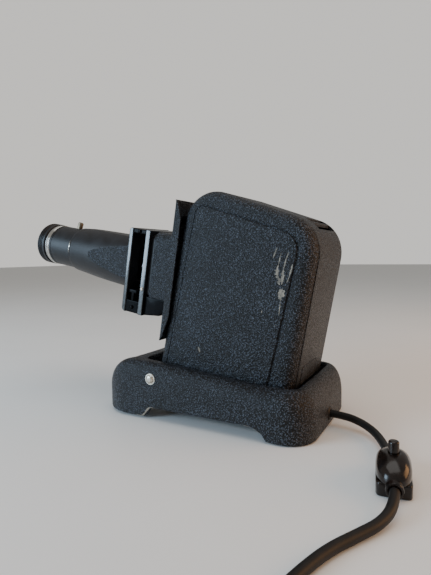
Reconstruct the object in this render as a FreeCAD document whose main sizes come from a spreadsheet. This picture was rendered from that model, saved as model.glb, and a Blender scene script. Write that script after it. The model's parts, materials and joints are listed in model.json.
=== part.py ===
import FreeCAD, Part
import math
import os
import Sketcher

from FreeCAD import Placement, Rotation, Vector

# A small slide projector: a hollow die-cast base, a lamphouse that tilts on two
# pivot screws, a slide gate in front of it, a snout with a sliding lens barrel,
# and a mains lead with a push-button switch.  Millimetres, +Z up, the lens
# points along -Y, and the origin lies on the table under the object's middle.

os.makedirs("parts", exist_ok=True)
doc = FreeCAD.newDocument("slide_projector")

# ---------------------------------------------------------------- dimensions
SIZES = [
    # base casting
    ("base_length", 210), ("base_width", 130), ("base_middle", 66.2),
    ("base_corner", 27), ("base_lift", 1.5), ("base_nose", 43),
    ("base_tail", 25), ("base_front_top", 53), ("base_rear_top", 44.5),
    ("base_wall", 5),
    ("well_width", 100), ("well_front", 17.6), ("well_rear", 92.5),
    ("arch_front", 47), ("arch_rear", 62), ("arch_top", 11.4),
    ("foot_radius", 11), ("foot_depth", 4), ("foot_reach", 49),
    ("foot_ahead", 76), ("foot_behind", 80),
    # tilt pivot
    ("pivot_along", 25.8), ("pivot_up", 38.4), ("tilt_angle", 9.8),
    ("shank_radius", 3), ("shank_play", 0.05), ("head_radius", 5.4),
    ("ear_inner", 46.4), ("ear_thick", 1.5),
    # lamphouse, measured in its own frame from the pivot
    ("house_half", 46), ("seam", 36), ("house_front", 6.8),
    ("house_lean", 9.4),
    ("house_rear", 127.5), ("house_floor", 3.5), ("house_wall", 2.5),
    ("house_top_front", 178.3), ("house_top_rear", 158.6),
    ("house_round_front", 31), ("house_round_rear", 33), ("panel_rise", 1),
    # heat shield, neck and slide gate
    ("shield_half", 50), ("shield_face", 6.6), ("shield_thick", 1.4),
    ("shield_low", 32.6), ("shield_high", 163), ("shield_lip", 8),
    ("axis_up", 94.4), ("neck_half", 30), ("neck_low", 65),
    ("neck_high", 130.5), ("neck_front", 38.6),
    ("gate_half", 31), ("gate_low", 45), ("gate_high", 131),
    ("gate_face", 70), ("gate_slot_front", 65.4), ("gate_slot_rear", 49.5),
    ("gate_back", 44), ("gate_floor", 58), ("gate_ceiling", 126),
    ("window", 34),
    # snout and lens
    ("snout_rim", 24.7), ("snout_front", 160), ("snout_rear", 70.05),
    ("snout_flare", 33), ("snout_flat", 28), ("snout_high", 26.5),
    ("barrel_radius", 22.9), ("barrel_bore", 20.6), ("barrel_rear", 112),
    ("barrel_front", 193.5), ("ring_front", 200.5), ("bezel_front", 212),
    ("bezel_radius", 23.8), ("ring_radius", 23.4), ("lens_play", 0.06),
    # condenser and lamp
    ("cell_radius", 26), ("cell_wall", 1.5), ("bulb_radius", 16),
    ("lamp_along", 50),
    # lead, switch and plug
    ("cord_radius", 3.2), ("exit_across", 2), ("exit_up", 10.5),
    ("switch_width", 22), ("switch_low", 14), ("switch_crown", 22),
    ("switch_cord_up", 8), ("button_radius", 3.4), ("button_rise", 7.5),
    ("coil_radius", 35), ("coil_band", 24),
    ("plug_radius", 13), ("plug_length", 30),
]
sheet = doc.addObject("Spreadsheet::Sheet", "sizes")
for row, (alias, value) in enumerate(SIZES, start=1):
    sheet.set(f"A{row}", alias)
    sheet.set(f"B{row}", str(value))
    sheet.setAlias(f"B{row}", alias)
doc.recompute()
size = {alias: float(sheet.get(alias)) for alias, value in SIZES}

# ---------------------------------------------------------------- frames
UPRIGHT = Placement()
PIVOT = Placement(Vector(0, size["pivot_along"], size["pivot_up"]),
                  Rotation(Vector(1, 0, 0), -size["tilt_angle"]))
OPTICS = PIVOT.multiply(Placement(Vector(0, 0, size["axis_up"]), Rotation()))
ALONG_X = Rotation(Vector(0, 1, 0), 90)
ALONG_Y = Rotation(Vector(1, 0, 0), -90)
ALONG_Z = Rotation()
SIDE_VIEW = Rotation(Vector(1, 1, 1), 120)
nodes = []


def formula(text):
    """Write a formula of the sheet's words, each word as a cell of the sheet."""
    words = []
    for word in text.split():
        words.append(f"sizes.{word}" if word in size else word)
    return " ".join(words)


def bind(item, **formulas):
    """Bind properties of an object to formulas; two underscores mean a dot."""
    for name, text in formulas.items():
        item.setExpression(name.replace("__", "."), formula(text))
    return item


def keep(item, label, frame=UPRIGHT):
    """Name a finished piece, move it to its frame and list it for export."""
    item.Label = label
    item.Placement = frame
    nodes.append(item)
    return item


def at(item, turn, across, along, up):
    """Place a primitive, with its position bound to the sheet."""
    item.Placement = Placement(Vector(), turn)
    return bind(item, Placement__Base__x=across, Placement__Base__y=along,
                Placement__Base__z=up)


def block(low, high):
    """Make a box between two corners, each three formulas."""
    item = doc.addObject("Part::Box", "block")
    bind(item, Length=f"( {high[0]} ) - ( {low[0]} )",
         Width=f"( {high[1]} ) - ( {low[1]} )",
         Height=f"( {high[2]} ) - ( {low[2]} )")
    return at(item, ALONG_Z, *low)


def rod(turn, start, radius, length):
    """Make a cylinder from a start point along one of the three axes."""
    item = doc.addObject("Part::Cylinder", "rod")
    bind(item, Radius=radius, Height=length)
    return at(item, turn, *start)


def cut(base, tool):
    """Cut one shape from another."""
    item = doc.addObject("Part::Cut", "cut")
    item.Base = base
    item.Tool = tool
    return item


def fuse(*shapes):
    """Fuse shapes into one."""
    item = doc.addObject("Part::MultiFuse", "fuse")
    item.Shapes = list(shapes)
    return item


def common(*shapes):
    """Keep what shapes have in common."""
    item = doc.addObject("Part::MultiCommon", "common")
    item.Shapes = list(shapes)
    return item


def group(*shapes):
    """Keep separate solids together as one node."""
    item = doc.addObject("Part::Compound", "group")
    item.Links = list(shapes)
    return item


def draw(sketch, points):
    """Draw a closed outline whose every corner is bound to two formulas."""
    count = len(points)
    for index in range(count):
        turn = 2 * math.pi * index / count
        following = turn + 2 * math.pi / count
        start = Vector(9 * math.cos(turn), 9 * math.sin(turn), 0)
        end = Vector(9 * math.cos(following), 9 * math.sin(following), 0)
        sketch.addGeometry(Part.LineSegment(start, end), False)
    for index in range(count):
        sketch.addConstraint(Sketcher.Constraint(
            "Coincident", index, 2, (index + 1) % count, 1))
    for index, (across, up) in enumerate(points):
        for kind, text in (("DistanceX", across), ("DistanceY", up)):
            place = sketch.addConstraint(Sketcher.Constraint(kind, index, 1, 1.0))
            sketch.setExpression(f"Constraints[{place}]", formula(text))


def profile(points, low, high, view=SIDE_VIEW):
    """Extrude an outline from low to high along its own normal."""
    sketch = doc.addObject("Sketcher::SketchObject", "outline")
    sketch.Placement = Placement(Vector(), view)
    draw(sketch, points)
    item = doc.addObject("Part::Extrusion", "profile")
    item.Base = sketch
    item.DirMode = "Normal"
    item.Solid = True
    bind(item, LengthFwd=high, LengthRev=f"0 - ( {low} )")
    return item


def turned(label, points, frame, upright=False):
    """Turn an outline of (along, radius), or (radius, up), into a solid."""
    body = doc.addObject("PartDesign::Body", "turned")
    sketch = body.newObject("Sketcher::SketchObject", "outline")
    plane = [item for item in body.Origin.OriginFeatures
             if item.Role == "YZ_Plane"][0]
    sketch.AttachmentSupport = [(plane, "")]
    sketch.MapMode = "FlatFace"
    draw(sketch, points)
    doc.recompute()
    spin = body.newObject("PartDesign::Revolution", "spin")
    spin.Profile = sketch
    spin.ReferenceAxis = (sketch, ["V_Axis" if upright else "H_Axis"])
    spin.Angle = 360
    doc.recompute()
    body.Tip = spin
    return keep(body, label, frame)


def rounded(source, choose):
    """Round the edges of a shape for which choose gives a radius."""
    doc.recompute()
    edges = []
    for number, edge in enumerate(source.Shape.Edges, start=1):
        radius = choose(edge)
        if radius:
            edges.append((number, radius, radius))
    item = doc.addObject("Part::Fillet", "rounded")
    item.Base = source
    item.Edges = edges
    return item


def runs_across(edge):
    """Say whether an edge is straight and runs along X."""
    start, end = edge.Vertexes[0].Point, edge.Vertexes[-1].Point
    return abs(end.y - start.y) + abs(end.z - start.z) < 0.01


# ---------------------------------------------------------------- base
FRONT = "base_middle - base_length / 2"
REAR = "base_middle + base_length / 2"


def casting(inset, low):
    """Give the base's outer form, drawn in by inset and open down to low."""
    side = profile([
        (f"{FRONT} + {inset}", low),
        (f"{REAR} - {inset}", low),
        (f"{REAR} - {inset}", f"base_rear_top - {inset}"),
        (f"{FRONT} + {inset}", f"base_front_top - {inset}"),
    ], "0 - base_width", "base_width")
    thick = inset if isinstance(inset, float) else size[inset]

    def nose_or_tail(edge):
        point = edge.Vertexes[0].Point
        if not runs_across(edge) or point.z < 30:
            return None
        nose = point.y < size["base_middle"]
        return (size["base_nose"] if nose else size["base_tail"]) - thick

    plan = block(
        (f"0 - base_width / 2 + {inset}", f"{FRONT} + {inset}", f"{low} - 1"),
        (f"base_width / 2 - {inset}", f"{REAR} - {inset}", "base_front_top + 9"))

    def upright(edge):
        start, end = edge.Vertexes[0].Point, edge.Vertexes[-1].Point
        return size["base_corner"] - thick if abs(end.z - start.z) > 1 else None

    return common(rounded(side, nose_or_tail), rounded(plan, upright))


def foot_places():
    """Give the four feet's places as formulas."""
    for across in ("0 - foot_reach", "foot_reach"):
        for along in ("base_middle - foot_ahead", "base_middle + foot_behind"):
            yield across, along


outer = casting(0.0, "base_lift")
hollow = casting("base_wall", "0 - 5")
doc.recompute()
well = block(("0 - well_width / 2", "pivot_along - well_front", "base_lift + 20"),
             ("well_width / 2", "base_middle + well_rear", "base_front_top + 9"))


def well_corner(edge):
    """Round the well's upright corners."""
    start, end = edge.Vertexes[0].Point, edge.Vertexes[-1].Point
    return 8 if abs(end.z - start.z) > 1 else None


arch = profile([
    ("base_middle - arch_front - 8", "0 - 5"),
    ("base_middle + arch_rear + 16", "0 - 5"),
    ("base_middle + arch_rear + 13", "arch_top / 3"),
    ("base_middle + arch_rear + 8", "arch_top * 0.75"),
    ("base_middle + arch_rear", "arch_top"),
    ("base_middle - arch_front", "arch_top"),
    ("base_middle - arch_front - 8", "base_lift + 1"),
], "0 - base_width", "base_width")
pads = [rod(ALONG_Z, (across, along, "base_lift"), "foot_radius + 2.5", "4.5")
        for across, along in foot_places()]
seats = [rod(ALONG_Z, (across, along, "0 - 1"), "foot_radius + 0.05", "foot_depth + 1")
         for across, along in foot_places()]
pilots = [rod(ALONG_Z, (across, along, "0"), "1.55", "11")
          for across, along in foot_places()]
bosses = [block((low, "pivot_along - 9", "pivot_up - 9"),
                (high, "pivot_along + 9", "pivot_up + 4"))
          for low, high in (("0 - base_width / 2 + 2", "0 - well_width / 2"),
                            ("well_width / 2", "base_width / 2 - 2"))]
pivot_bore = rod(ALONG_X, ("0 - base_width", "pivot_along", "pivot_up"),
                 "shank_radius + shank_play", "base_width * 2")
cord_hole = rod(ALONG_Y, ("exit_across", f"{REAR} - 20", "exit_up"), "5", "40")
shell = cut(outer, fuse(hollow, rounded(well, well_corner), arch))
base = cut(fuse(shell, *pads, *bosses), fuse(*seats, *pilots, pivot_bore, cord_hole))
keep(common(base, outer), "base_casting")

keep(group(*[cut(rod(ALONG_Z, (across, along, "0"), "foot_radius", "foot_depth"),
                 fuse(rod(ALONG_Z, (across, along, "0 - 1"), "4", "foot_depth / 2 + 1"),
                      rod(ALONG_Z, (across, along, "0 - 1"), "1.55", "foot_depth + 2")))
             for across, along in foot_places()]), "rubber_feet")
keep(group(*[rod(ALONG_Z, (across, along, "foot_depth / 2"), "1.5", "foot_depth")
             for across, along in foot_places()]), "foot_screws")


def pivot_screw(side):
    """Make one domed screw that enters the base from the given side."""
    face = f"{side} * base_width / 2"
    start = "ear_inner" if side > 0 else "0 - base_width / 2"
    shank = rod(ALONG_X, (start, "pivot_along", "pivot_up"),
                "shank_radius", "base_width / 2 - ear_inner")
    ball = doc.addObject("Part::Sphere", "ball")
    bind(ball, Radius="head_radius * 1.4")
    at(ball, ALONG_Z, f"{face} - {side} * head_radius * 0.95", "pivot_along", "pivot_up")
    low, high = ("0", "4") if side > 0 else ("0 - 4", "0")
    slab = block((f"{face} + ( {low} )", "pivot_along - 9", "pivot_up - 9"),
                 (f"{face} + ( {high} )", "pivot_along + 9", "pivot_up + 9"))
    return fuse(shank, common(ball, slab))


keep(group(pivot_screw(1), pivot_screw(-1)), "pivot_screws")


def ring(turn, start, outside, inside, length):
    """Make a plain ring or tube."""
    return cut(rod(turn, start, outside, length), rod(turn, start, inside, length))


keep(group(*[ring(ALONG_X, (start, "pivot_along", "pivot_up"), "7", "shank_radius + shank_play",
                  "well_width / 2 - ear_inner - ear_thick - 0.1")
             for start in ("ear_inner + ear_thick + 0.05",
                           "0 - well_width / 2 + 0.05")]), "friction_washers")
turned("cord_grommet", [("0 - 9", "0"), ("3", "0"), ("3", "5.2"), ("0.05", "6.8"),
                        ("0.05", "4.9"), ("0 - 9", "4.9")],
       Placement(Vector(size["exit_across"],
                        size["base_middle"] + size["base_length"] / 2,
                        size["exit_up"]), Rotation()))

# ---------------------------------------------------------------- lamphouse
keep(cut(fuse(
    block(("0 - ear_inner - ear_thick", "0 - 7", "0 - house_floor - 2"),
          ("ear_inner + ear_thick", "34", "0 - house_floor")),
    *[profile([("0 - 7", "0 - house_floor - 2"), ("34", "0 - house_floor - 2"),
               ("34", "0"), ("8", "7"), ("0 - 4", "7"), ("0 - 7", "4")], low, high)
      for low, high in (("ear_inner", "ear_inner + ear_thick"),
                        ("0 - ear_inner - ear_thick", "0 - ear_inner"))]),
    rod(ALONG_X, ("0 - base_width", "0", "0"), "shank_radius + shank_play",
        "base_width * 2")), "tilt_bracket", PIVOT)


def house_form(inset, half):
    """Give the lamphouse's outer form drawn in by inset."""
    side = profile([
        (f"{inset} - house_front", f"{inset} - house_floor"),
        (f"house_rear - {inset}", f"{inset} - house_floor"),
        (f"house_rear - {inset}", f"house_top_rear - {inset}"),
        (f"{inset} + house_lean - house_front", f"house_top_front - {inset}"),
    ], f"0 - {half}", half)
    thick = size[inset] if inset in size else 0

    def corner(edge):
        if not runs_across(edge):
            return None if thick else 4
        point = edge.Vertexes[0].Point
        if point.z < 50:
            return 6 - thick
        front = point.y < size["house_rear"] / 2
        return size["house_round_front" if front else "house_round_rear"] - thick

    return rounded(side, corner)


FAR = "house_rear + 20"
TALL = "house_top_front + 20"
bolt_spots = [("16", "14"), ("112", "16"), ("98", "140")]
skin = cut(house_form("0", "house_half"),
           house_form("house_wall", "( house_half - house_wall )"))
light_port = rod(ALONG_Y, ("0", "0 - 20", "axis_up"), "27", "30")
vents = [block(("0 - 36", along, "140"), ("10", f"{along} + 6.5", TALL))
         for along in ("105", "113")]
bolt_holes = [rod(ALONG_X, ("0 - 60", along, up), "2", "104")
              for along, up in bolt_spots]
right_half = block(("0 - 60", "0 - 20", "0 - 20"), ("seam - 0.3", FAR, TALL))
left_half = block(("seam + 0.3", "0 - 20", "0 - 20"), ("60", FAR, TALL))
keep(cut(common(skin, right_half), fuse(light_port, *vents, *bolt_holes)),
     "lamphouse_shell", PIVOT)


def panel_corner(edge):
    """Round the raised panel's upper corners."""
    if not runs_across(edge) or edge.Vertexes[0].Point.z < 50:
        return None
    return 8 if edge.Vertexes[0].Point.y < 60 else 16


panel = rounded(profile([("4", "9"), ("103.5", "9"), ("111.5", "144.5"), ("14.8", "161.5")],
                        "house_half - 1", "house_half + panel_rise"), panel_corner)
lugs = [rod(ALONG_X, ("seam + 0.3", along, up), "4.5", "house_half - seam - 1.3")
        for along, up in bolt_spots]
keep(cut(fuse(common(cut(house_form("0", "house_half"),
                         house_form("house_wall", "( house_half - house_wall )")),
                     left_half), panel, *lugs),
         fuse(light_port, *bolt_holes)), "lamphouse_cover", PIVOT)
keep(group(*[fuse(rod(ALONG_X, ("0 - house_half - 2", along, up), "4", "2"),
                  rod(ALONG_X, ("0 - house_half", along, up), "2", "house_half + 43"))
             for along, up in bolt_spots]), "tie_bolts", PIVOT)
lips = [profile([("0 - shield_face", "shield_low"), ("0 - shield_face", "shield_high"),
                 ("shield_lip - shield_face", "shield_high - 17"),
                 ("shield_lip - shield_face", "shield_low + 24")], low, high)
        for low, high in (("shield_half - shield_thick", "shield_half"),
                          ("0 - shield_half", "shield_thick - shield_half"))]
keep(cut(fuse(block(("0 - shield_half", "0 - shield_face", "shield_low"),
                    ("shield_half", "shield_thick - shield_face", "shield_high")), *lips),
         light_port), "front_plate", PIVOT)
keep(cut(group(*[rod(ALONG_Y, (across, "shield_thick - shield_face", up), "4", "9")
                 for across in ("0 - 34", "34") for up in ("48", "146")]),
         house_form("0", "house_half")), "plate_spacers", PIVOT)
keep(group(block(("0 - 38", "68", "128"), ("seam - 5", "124", "129.2"))),
     "vent_baffle", PIVOT)

# ---------------------------------------------------------------- condenser and lamp


def neck_edge(edge):
    """Round the neck's two upper edges."""
    start, end = edge.Vertexes[0].Point, edge.Vertexes[-1].Point
    return 7 if abs(end.y - start.y) > 1 and start.z > 100 else None


cell_hole = rod(ALONG_Y, ("0", "0 - neck_front - 9", "axis_up"), "cell_radius", "60")
keep(cut(fuse(rounded(block(("0 - neck_half", "0 - neck_front", "neck_low"),
                            ("neck_half", "0 - shield_face", "neck_high")), neck_edge),
              block(("3 - neck_half", "0 - gate_back", "neck_low + 1.5"),
                    ("neck_half - 3", "0 - neck_front", "neck_high - 3"))),
         cell_hole), "condenser_neck", PIVOT)
keep(ring(ALONG_Y, ("0", "0 - gate_back + 6", "axis_up"), "cell_radius",
          "cell_radius - cell_wall", "gate_back - 6 - shield_face"), "condenser_cell", PIVOT)


def lens(label, half, near, far, curve, bulge, frame=PIVOT, centre="axis_up"):
    """Make a plano-convex lens between two planes; bulge is -1 or 1 along Y."""
    disc = rod(ALONG_Y, ("0", near, centre), half, f"{far} - ( {near} )")
    ball = doc.addObject("Part::Sphere", "ball")
    bind(ball, Radius=curve)
    middle = f"{near} + {curve}" if bulge < 0 else f"{far} - {curve}"
    at(ball, ALONG_Z, "0", middle, centre)
    return keep(common(disc, ball), label, frame)


lens("condenser_lens_front", "cell_radius - cell_wall", "0 - 36", "0 - 26", "38", 1)
lens("condenser_lens_rear", "cell_radius - cell_wall", "0 - 25", "0 - 15", "38", -1)
keep(group(rod(ALONG_Y, ("0", "0 - 12", "axis_up"), "cell_radius - cell_wall", "2")),
     "heat_glass", PIVOT)
keep(fuse(rod(ALONG_Z, ("0", "lamp_along", "34"), "bulb_radius", "78"),
          at(bind(doc.addObject("Part::Sphere", "ball"), Radius="bulb_radius"),
             ALONG_Z, "0", "lamp_along", "112")), "lamp_bulb", PIVOT)
keep(group(rod(ALONG_Z, ("0", "lamp_along", "10"), "12", "24")), "lamp_base", PIVOT)
keep(cut(rod(ALONG_Z, ("0", "lamp_along", "4"), "14", "24"),
         rod(ALONG_Z, ("0", "lamp_along", "10"), "12", "24")), "lamp_socket", PIVOT)
keep(fuse(block(("0 - 22", "lamp_along - 18", "2.5"), ("22", "lamp_along + 18", "4")),
          *[block((low, "lamp_along - 18", "house_wall - house_floor"),
                  (high, "lamp_along + 18", "4"))
            for low, high in (("0 - 22", "0 - 20.5"), ("20.5", "22"))]),
     "socket_bracket", PIVOT)
bowl = [at(bind(doc.addObject("Part::Sphere", "ball"), Radius=radius),
           ALONG_Z, "0", "lamp_along", "axis_up") for radius in ("31.2", "30")]
keep(common(cut(*bowl), block(("0 - 40", "lamp_along + 18", "50"), ("40", "100", "140"))),
     "reflector", PIVOT)
keep(group(block(("0 - 6", "lamp_along + 31.2", "house_wall - house_floor"),
                 ("6", "lamp_along + 32.4", "100"))), "reflector_bracket", PIVOT)
keep(group(*[rod(ALONG_Y, (across, "70", "0.4"), "1.2", "34")
             for across in ("0 - 10", "10")]), "lead_wires", PIVOT)

# ---------------------------------------------------------------- slide gate
window = block(("0 - window / 2", "0 - 90", "axis_up - window / 2"),
               ("window / 2", "0 - 30", "axis_up + window / 2"))
side_screws = [rod(ALONG_X, (start, "0 - 57.5", up), "2", "6")
               for start in ("gate_half - 5.2", "0 - gate_half - 0.8")
               for up in ("128.5", "51")]
rivet_hole = rod(ALONG_X, ("gate_half - 4", "0 - 46.8", "72"), "1.9", "4.8")


def gate_plate(near, far):
    """Make one upright plate of the gate with its picture window."""
    return cut(block(("0 - gate_half", near, "gate_low"), ("gate_half", far, "gate_high")),
               window)


keep(gate_plate("0 - gate_face", "0 - gate_slot_front"), "gate_front_plate", PIVOT)
keep(cut(gate_plate("0 - gate_slot_rear", "0 - gate_back"), rivet_hole),
     "gate_rear_plate", PIVOT)
keep(cut(block(("0 - gate_half", "0 - gate_slot_front", "gate_ceiling"),
               ("gate_half", "0 - gate_slot_rear", "gate_high")),
         fuse(*side_screws)), "gate_top_band", PIVOT)
keep(cut(block(("0 - gate_half", "0 - gate_slot_front", "gate_low"),
               ("gate_half", "0 - gate_slot_rear", "gate_floor")),
         fuse(*side_screws)), "gate_floor_block", PIVOT)
keep(fuse(block(("0 - gate_half", "0 - 59", "gate_floor"), ("gate_half", "0 - 56", "66")),
          block(("0 - gate_half", "0 - 62", "66"), ("gate_half", "0 - 53", "69"))),
     "slide_ledge", PIVOT)
keep(group(*[profile([("0 - gate_slot_rear", "74"), ("0 - 53.5", "94"),
                      ("0 - gate_slot_rear", "114"), ("0 - gate_slot_rear", "112.5"),
                      ("0 - 52.8", "94"), ("0 - gate_slot_rear", "75.5")], low, high)
             for low, high in (("21", "26"), ("0 - 26", "0 - 21"))]),
     "pressure_springs", PIVOT)
keep(group(*side_screws), "gate_screws", PIVOT)
keep(group(rivet_hole), "gate_rivet", PIVOT)
keep(profile([("0 - gate_back", "gate_low"), ("0 - 24", "49"), ("0 - 20", "52.5"),
              ("0 - 20", "neck_low"), ("0 - gate_back", "neck_low")], "0 - 28", "28"),
     "neck_bracket", PIVOT)

# ---------------------------------------------------------------- snout and lens
flare = doc.addObject("Part::Cone", "flare")
bind(flare, Radius1="snout_rim", Radius2="snout_flare", Height="snout_front - snout_rear")
at(flare, ALONG_Y, "0", "0 - snout_front", "axis_up")
keep(cut(common(flare, block(("0 - snout_flat", "0 - snout_front", "axis_up - snout_high"),
                             ("snout_flat", "0 - snout_rear", "axis_up + snout_high"))),
         rod(ALONG_Y, ("0", "0 - snout_front", "axis_up"), "barrel_radius + lens_play",
             "snout_front - snout_rear")), "snout", PIVOT)
pin = rod(ALONG_Z, ("0", "0 - 170", "axis_up + barrel_radius - 2"), "2.8", "9.5")
keep(cut(ring(ALONG_Y, ("0", "0 - barrel_front", "axis_up"), "barrel_radius",
              "barrel_bore", "barrel_front - barrel_rear"), pin), "focus_tube", PIVOT)
keep(group(pin), "focus_pin", PIVOT)
turned("chrome_ring", [("0 - ring_front", "barrel_bore"), ("0 - ring_front", "ring_radius"),
                       ("0 - barrel_front", "ring_radius"),
                       ("0 - barrel_front", "barrel_bore")], OPTICS)
turned("front_bezel", [
    ("0 - bezel_front", "barrel_bore - 1.6"), ("0 - bezel_front", "bezel_radius - 0.8"),
    ("1 - bezel_front", "bezel_radius"), ("4 - bezel_front", "bezel_radius"),
    ("4 - bezel_front", "bezel_radius - 0.8"), ("5.5 - bezel_front", "bezel_radius - 0.8"),
    ("5.5 - bezel_front", "bezel_radius"), ("0 - ring_front", "bezel_radius"),
    ("0 - ring_front", "barrel_bore"), ("4 - bezel_front", "barrel_bore"),
    ("4 - bezel_front", "barrel_bore - 1.6")], OPTICS)
lens("lens_front", "barrel_bore", "0 - 207.5", "0 - 199", "52", -1)
lens("lens_middle", "barrel_bore", "0 - 189", "0 - 185", "120", 1)
lens("lens_rear", "barrel_bore", "0 - 176", "0 - 169", "60", 1)
keep(group(*[ring(ALONG_Y, ("0", start, "axis_up"), "barrel_bore", "barrel_bore - 1.6", length)
             for start, length in (("0 - 199", "10"), ("0 - 185", "9"))]),
     "lens_spacers", PIVOT)

# ---------------------------------------------------------------- switch and plug
SWITCH = Placement(Vector(84.8, 235.8, 0), Rotation(Vector(0, 0, 1), 9))
END_VIEW = Rotation(Vector(1, 0, 0), 90)
button_hole = rod(ALONG_Z, ("0", "0", "10"), "button_radius + 0.08", "20")
keep(fuse(block(("0 - 18", "0 - switch_width / 2", "0"), ("18", "switch_width / 2", "9")),
          *[rod(ALONG_X, (start, "0", "switch_cord_up"), "5.5", "7")
            for start in ("0 - 25", "18")]), "switch_lower", SWITCH)
keep(cut(cut(profile([("0 - 18", "9"), ("18", "9"), ("17", "switch_low"),
                      ("9", "switch_crown - 2"), ("4", "switch_crown"),
                      ("0 - 4", "switch_crown"), ("0 - 9", "switch_crown - 2"),
                      ("0 - 17", "switch_low")],
                     "0 - switch_width / 2", "switch_width / 2", END_VIEW), button_hole),
         fuse(*[rod(ALONG_X, (start, "0", "switch_cord_up"), "5.5", "7")
                for start in ("0 - 25", "18")])), "switch_upper", SWITCH)
keep(group(rod(ALONG_Z, ("0", "0", "switch_crown - 8"), "button_radius",
               "button_rise + 8")), "switch_button", SWITCH)

COIL = Vector(279.4, 202.0, 0)
TURN_END = 60
exit_turn = math.radians(TURN_END)
coil_edge = size["coil_radius"] + 10.4
plug_start = COIL + Vector(coil_edge * math.cos(exit_turn) - 42 * math.sin(exit_turn),
                           coil_edge * math.sin(exit_turn) + 42 * math.cos(exit_turn), 13.5)
PLUG = Placement(plug_start, Rotation(Vector(0, 0, 1), TURN_END))
turned("cord_plug", [("0", "0"), ("0", "6"), ("8", "7"), ("14", "plug_radius"),
                     ("plug_length", "plug_radius"), ("plug_length", "0")], PLUG)
keep(group(*[block((low, "plug_length", "0 - 3.2"), (high, "plug_length + 17", "3.2"))
             for low, high in (("5.6", "7.1"), ("0 - 7.1", "0 - 5.6"))]),
     "plug_blades", PLUG)

# ---------------------------------------------------------------- cord
LEAD = [(2, 174.2, 10.5), (2.2, 187.4, 10.3), (6.1, 199.9, 8.6), (14, 210.6, 6.8),
        (25.4, 218.4, 5.6), (39.4, 224.4, 5.2), (50.1, 228.3, 6.4), (60.1, 231.9, 8)]
TAIL = [(109.5, 239.7, 8), (123, 241, 6.5), (139, 236.5, 4), (154.5, 227, 3.3),
        (173, 216.5, 3.3), (194, 209.2, 3.3), (216, 203.6, 3.3), (236, 189.5, 3.3),
        (252.7, 165.3, 3.4)]
END = [tuple(COIL + Vector(coil_edge * math.cos(exit_turn),
                           coil_edge * math.sin(exit_turn), 9.6)), tuple(plug_start)]


def tube(label, route):
    """Sweep the cord's section along straight runs joined by tangent arcs."""
    points = [Vector(*point) for point in route]
    radius = size["cord_radius"]
    edges = []
    here = points[0]
    tightest = None
    for before, corner, after in zip(points, points[1:], points[2:]):
        arriving = (corner - before).normalize()
        leaving = (after - corner).normalize()
        half = arriving.getAngle(leaving) / 2
        reach = 0.45 * min((corner - before).Length, (after - corner).Length)
        bend = reach / math.tan(half)
        tightest = bend if tightest is None else min(tightest, bend)
        start = corner - arriving * reach
        end = corner + leaving * reach
        inward = (leaving - arriving).normalize()
        middle = corner + inward * (bend / math.cos(half) - bend)
        edges.append(Part.LineSegment(here, start).toShape())
        edges.append(Part.Arc(start, middle, end).toShape())
        here = end
        print(f"{label}: bend radius {bend:.1f} mm")
    edges.append(Part.LineSegment(here, points[-1]).toShape())
    path = Part.Wire(edges)
    facing = points[1] - points[0]
    section = Part.Wire([Part.Circle(points[0], facing, radius).toShape()])
    item = doc.addObject("Part::Feature", "cord")
    item.Shape = path.makePipeShell([section], True, True)
    expected = math.pi * radius ** 2 * path.Length
    print(f"{label}: {path.Length:.1f} mm long, volume {item.Shape.Volume / expected:.4f}"
          " of section times length")
    item.Label = label
    nodes.append(item)
    return item


tube("cord_lead", LEAD)
tube("cord_tail", TAIL)
tube("cord_end", END)
keep(ring(ALONG_Z, (str(COIL.x), str(COIL.y), "0"), "coil_radius + coil_band / 2 + 1.6",
          "coil_radius - coil_band / 2 - 1.6", "cord_radius * 4"), "cord_coil")

# ---------------------------------------------------------------- checks and export
doc.recompute()
for item in doc.Objects:
    if "Invalid" in item.State or "Error" in item.State:
        raise RuntimeError(f"{item.Name} ({item.Label}) did not compute: {item.State}")
for item in nodes:
    if item.Shape.isNull() or not item.Shape.isValid():
        raise RuntimeError(f"{item.Label} has no valid shape")
whole = FreeCAD.BoundBox()
for item in nodes:
    if not item.Label.startswith(("cord_", "switch_", "plug_")):
        whole.add(item.Shape.BoundBox)
    item.Shape.exportStep(f"parts/{item.Label}.step")
print(f"{len(nodes)} pieces; without the cord the box is {whole}")
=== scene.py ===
"""A small vintage slide projector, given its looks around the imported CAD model.

Sizes are in millimetres inside the classes and become metres when a mesh is made.
The lamphouse and everything in front of it are drawn in the lamphouse's own level
frame, whose origin is the tilt pivot, and leaned back by the rest angle.
"""

import json
import logging
import math
from dataclasses import dataclass, field
from enum import Enum
from typing import Callable, Iterable, Optional, Sequence, Union

import bmesh
import bpy
from mathutils import Matrix, Vector, noise
from mathutils.geometry import tessellate_polygon


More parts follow.
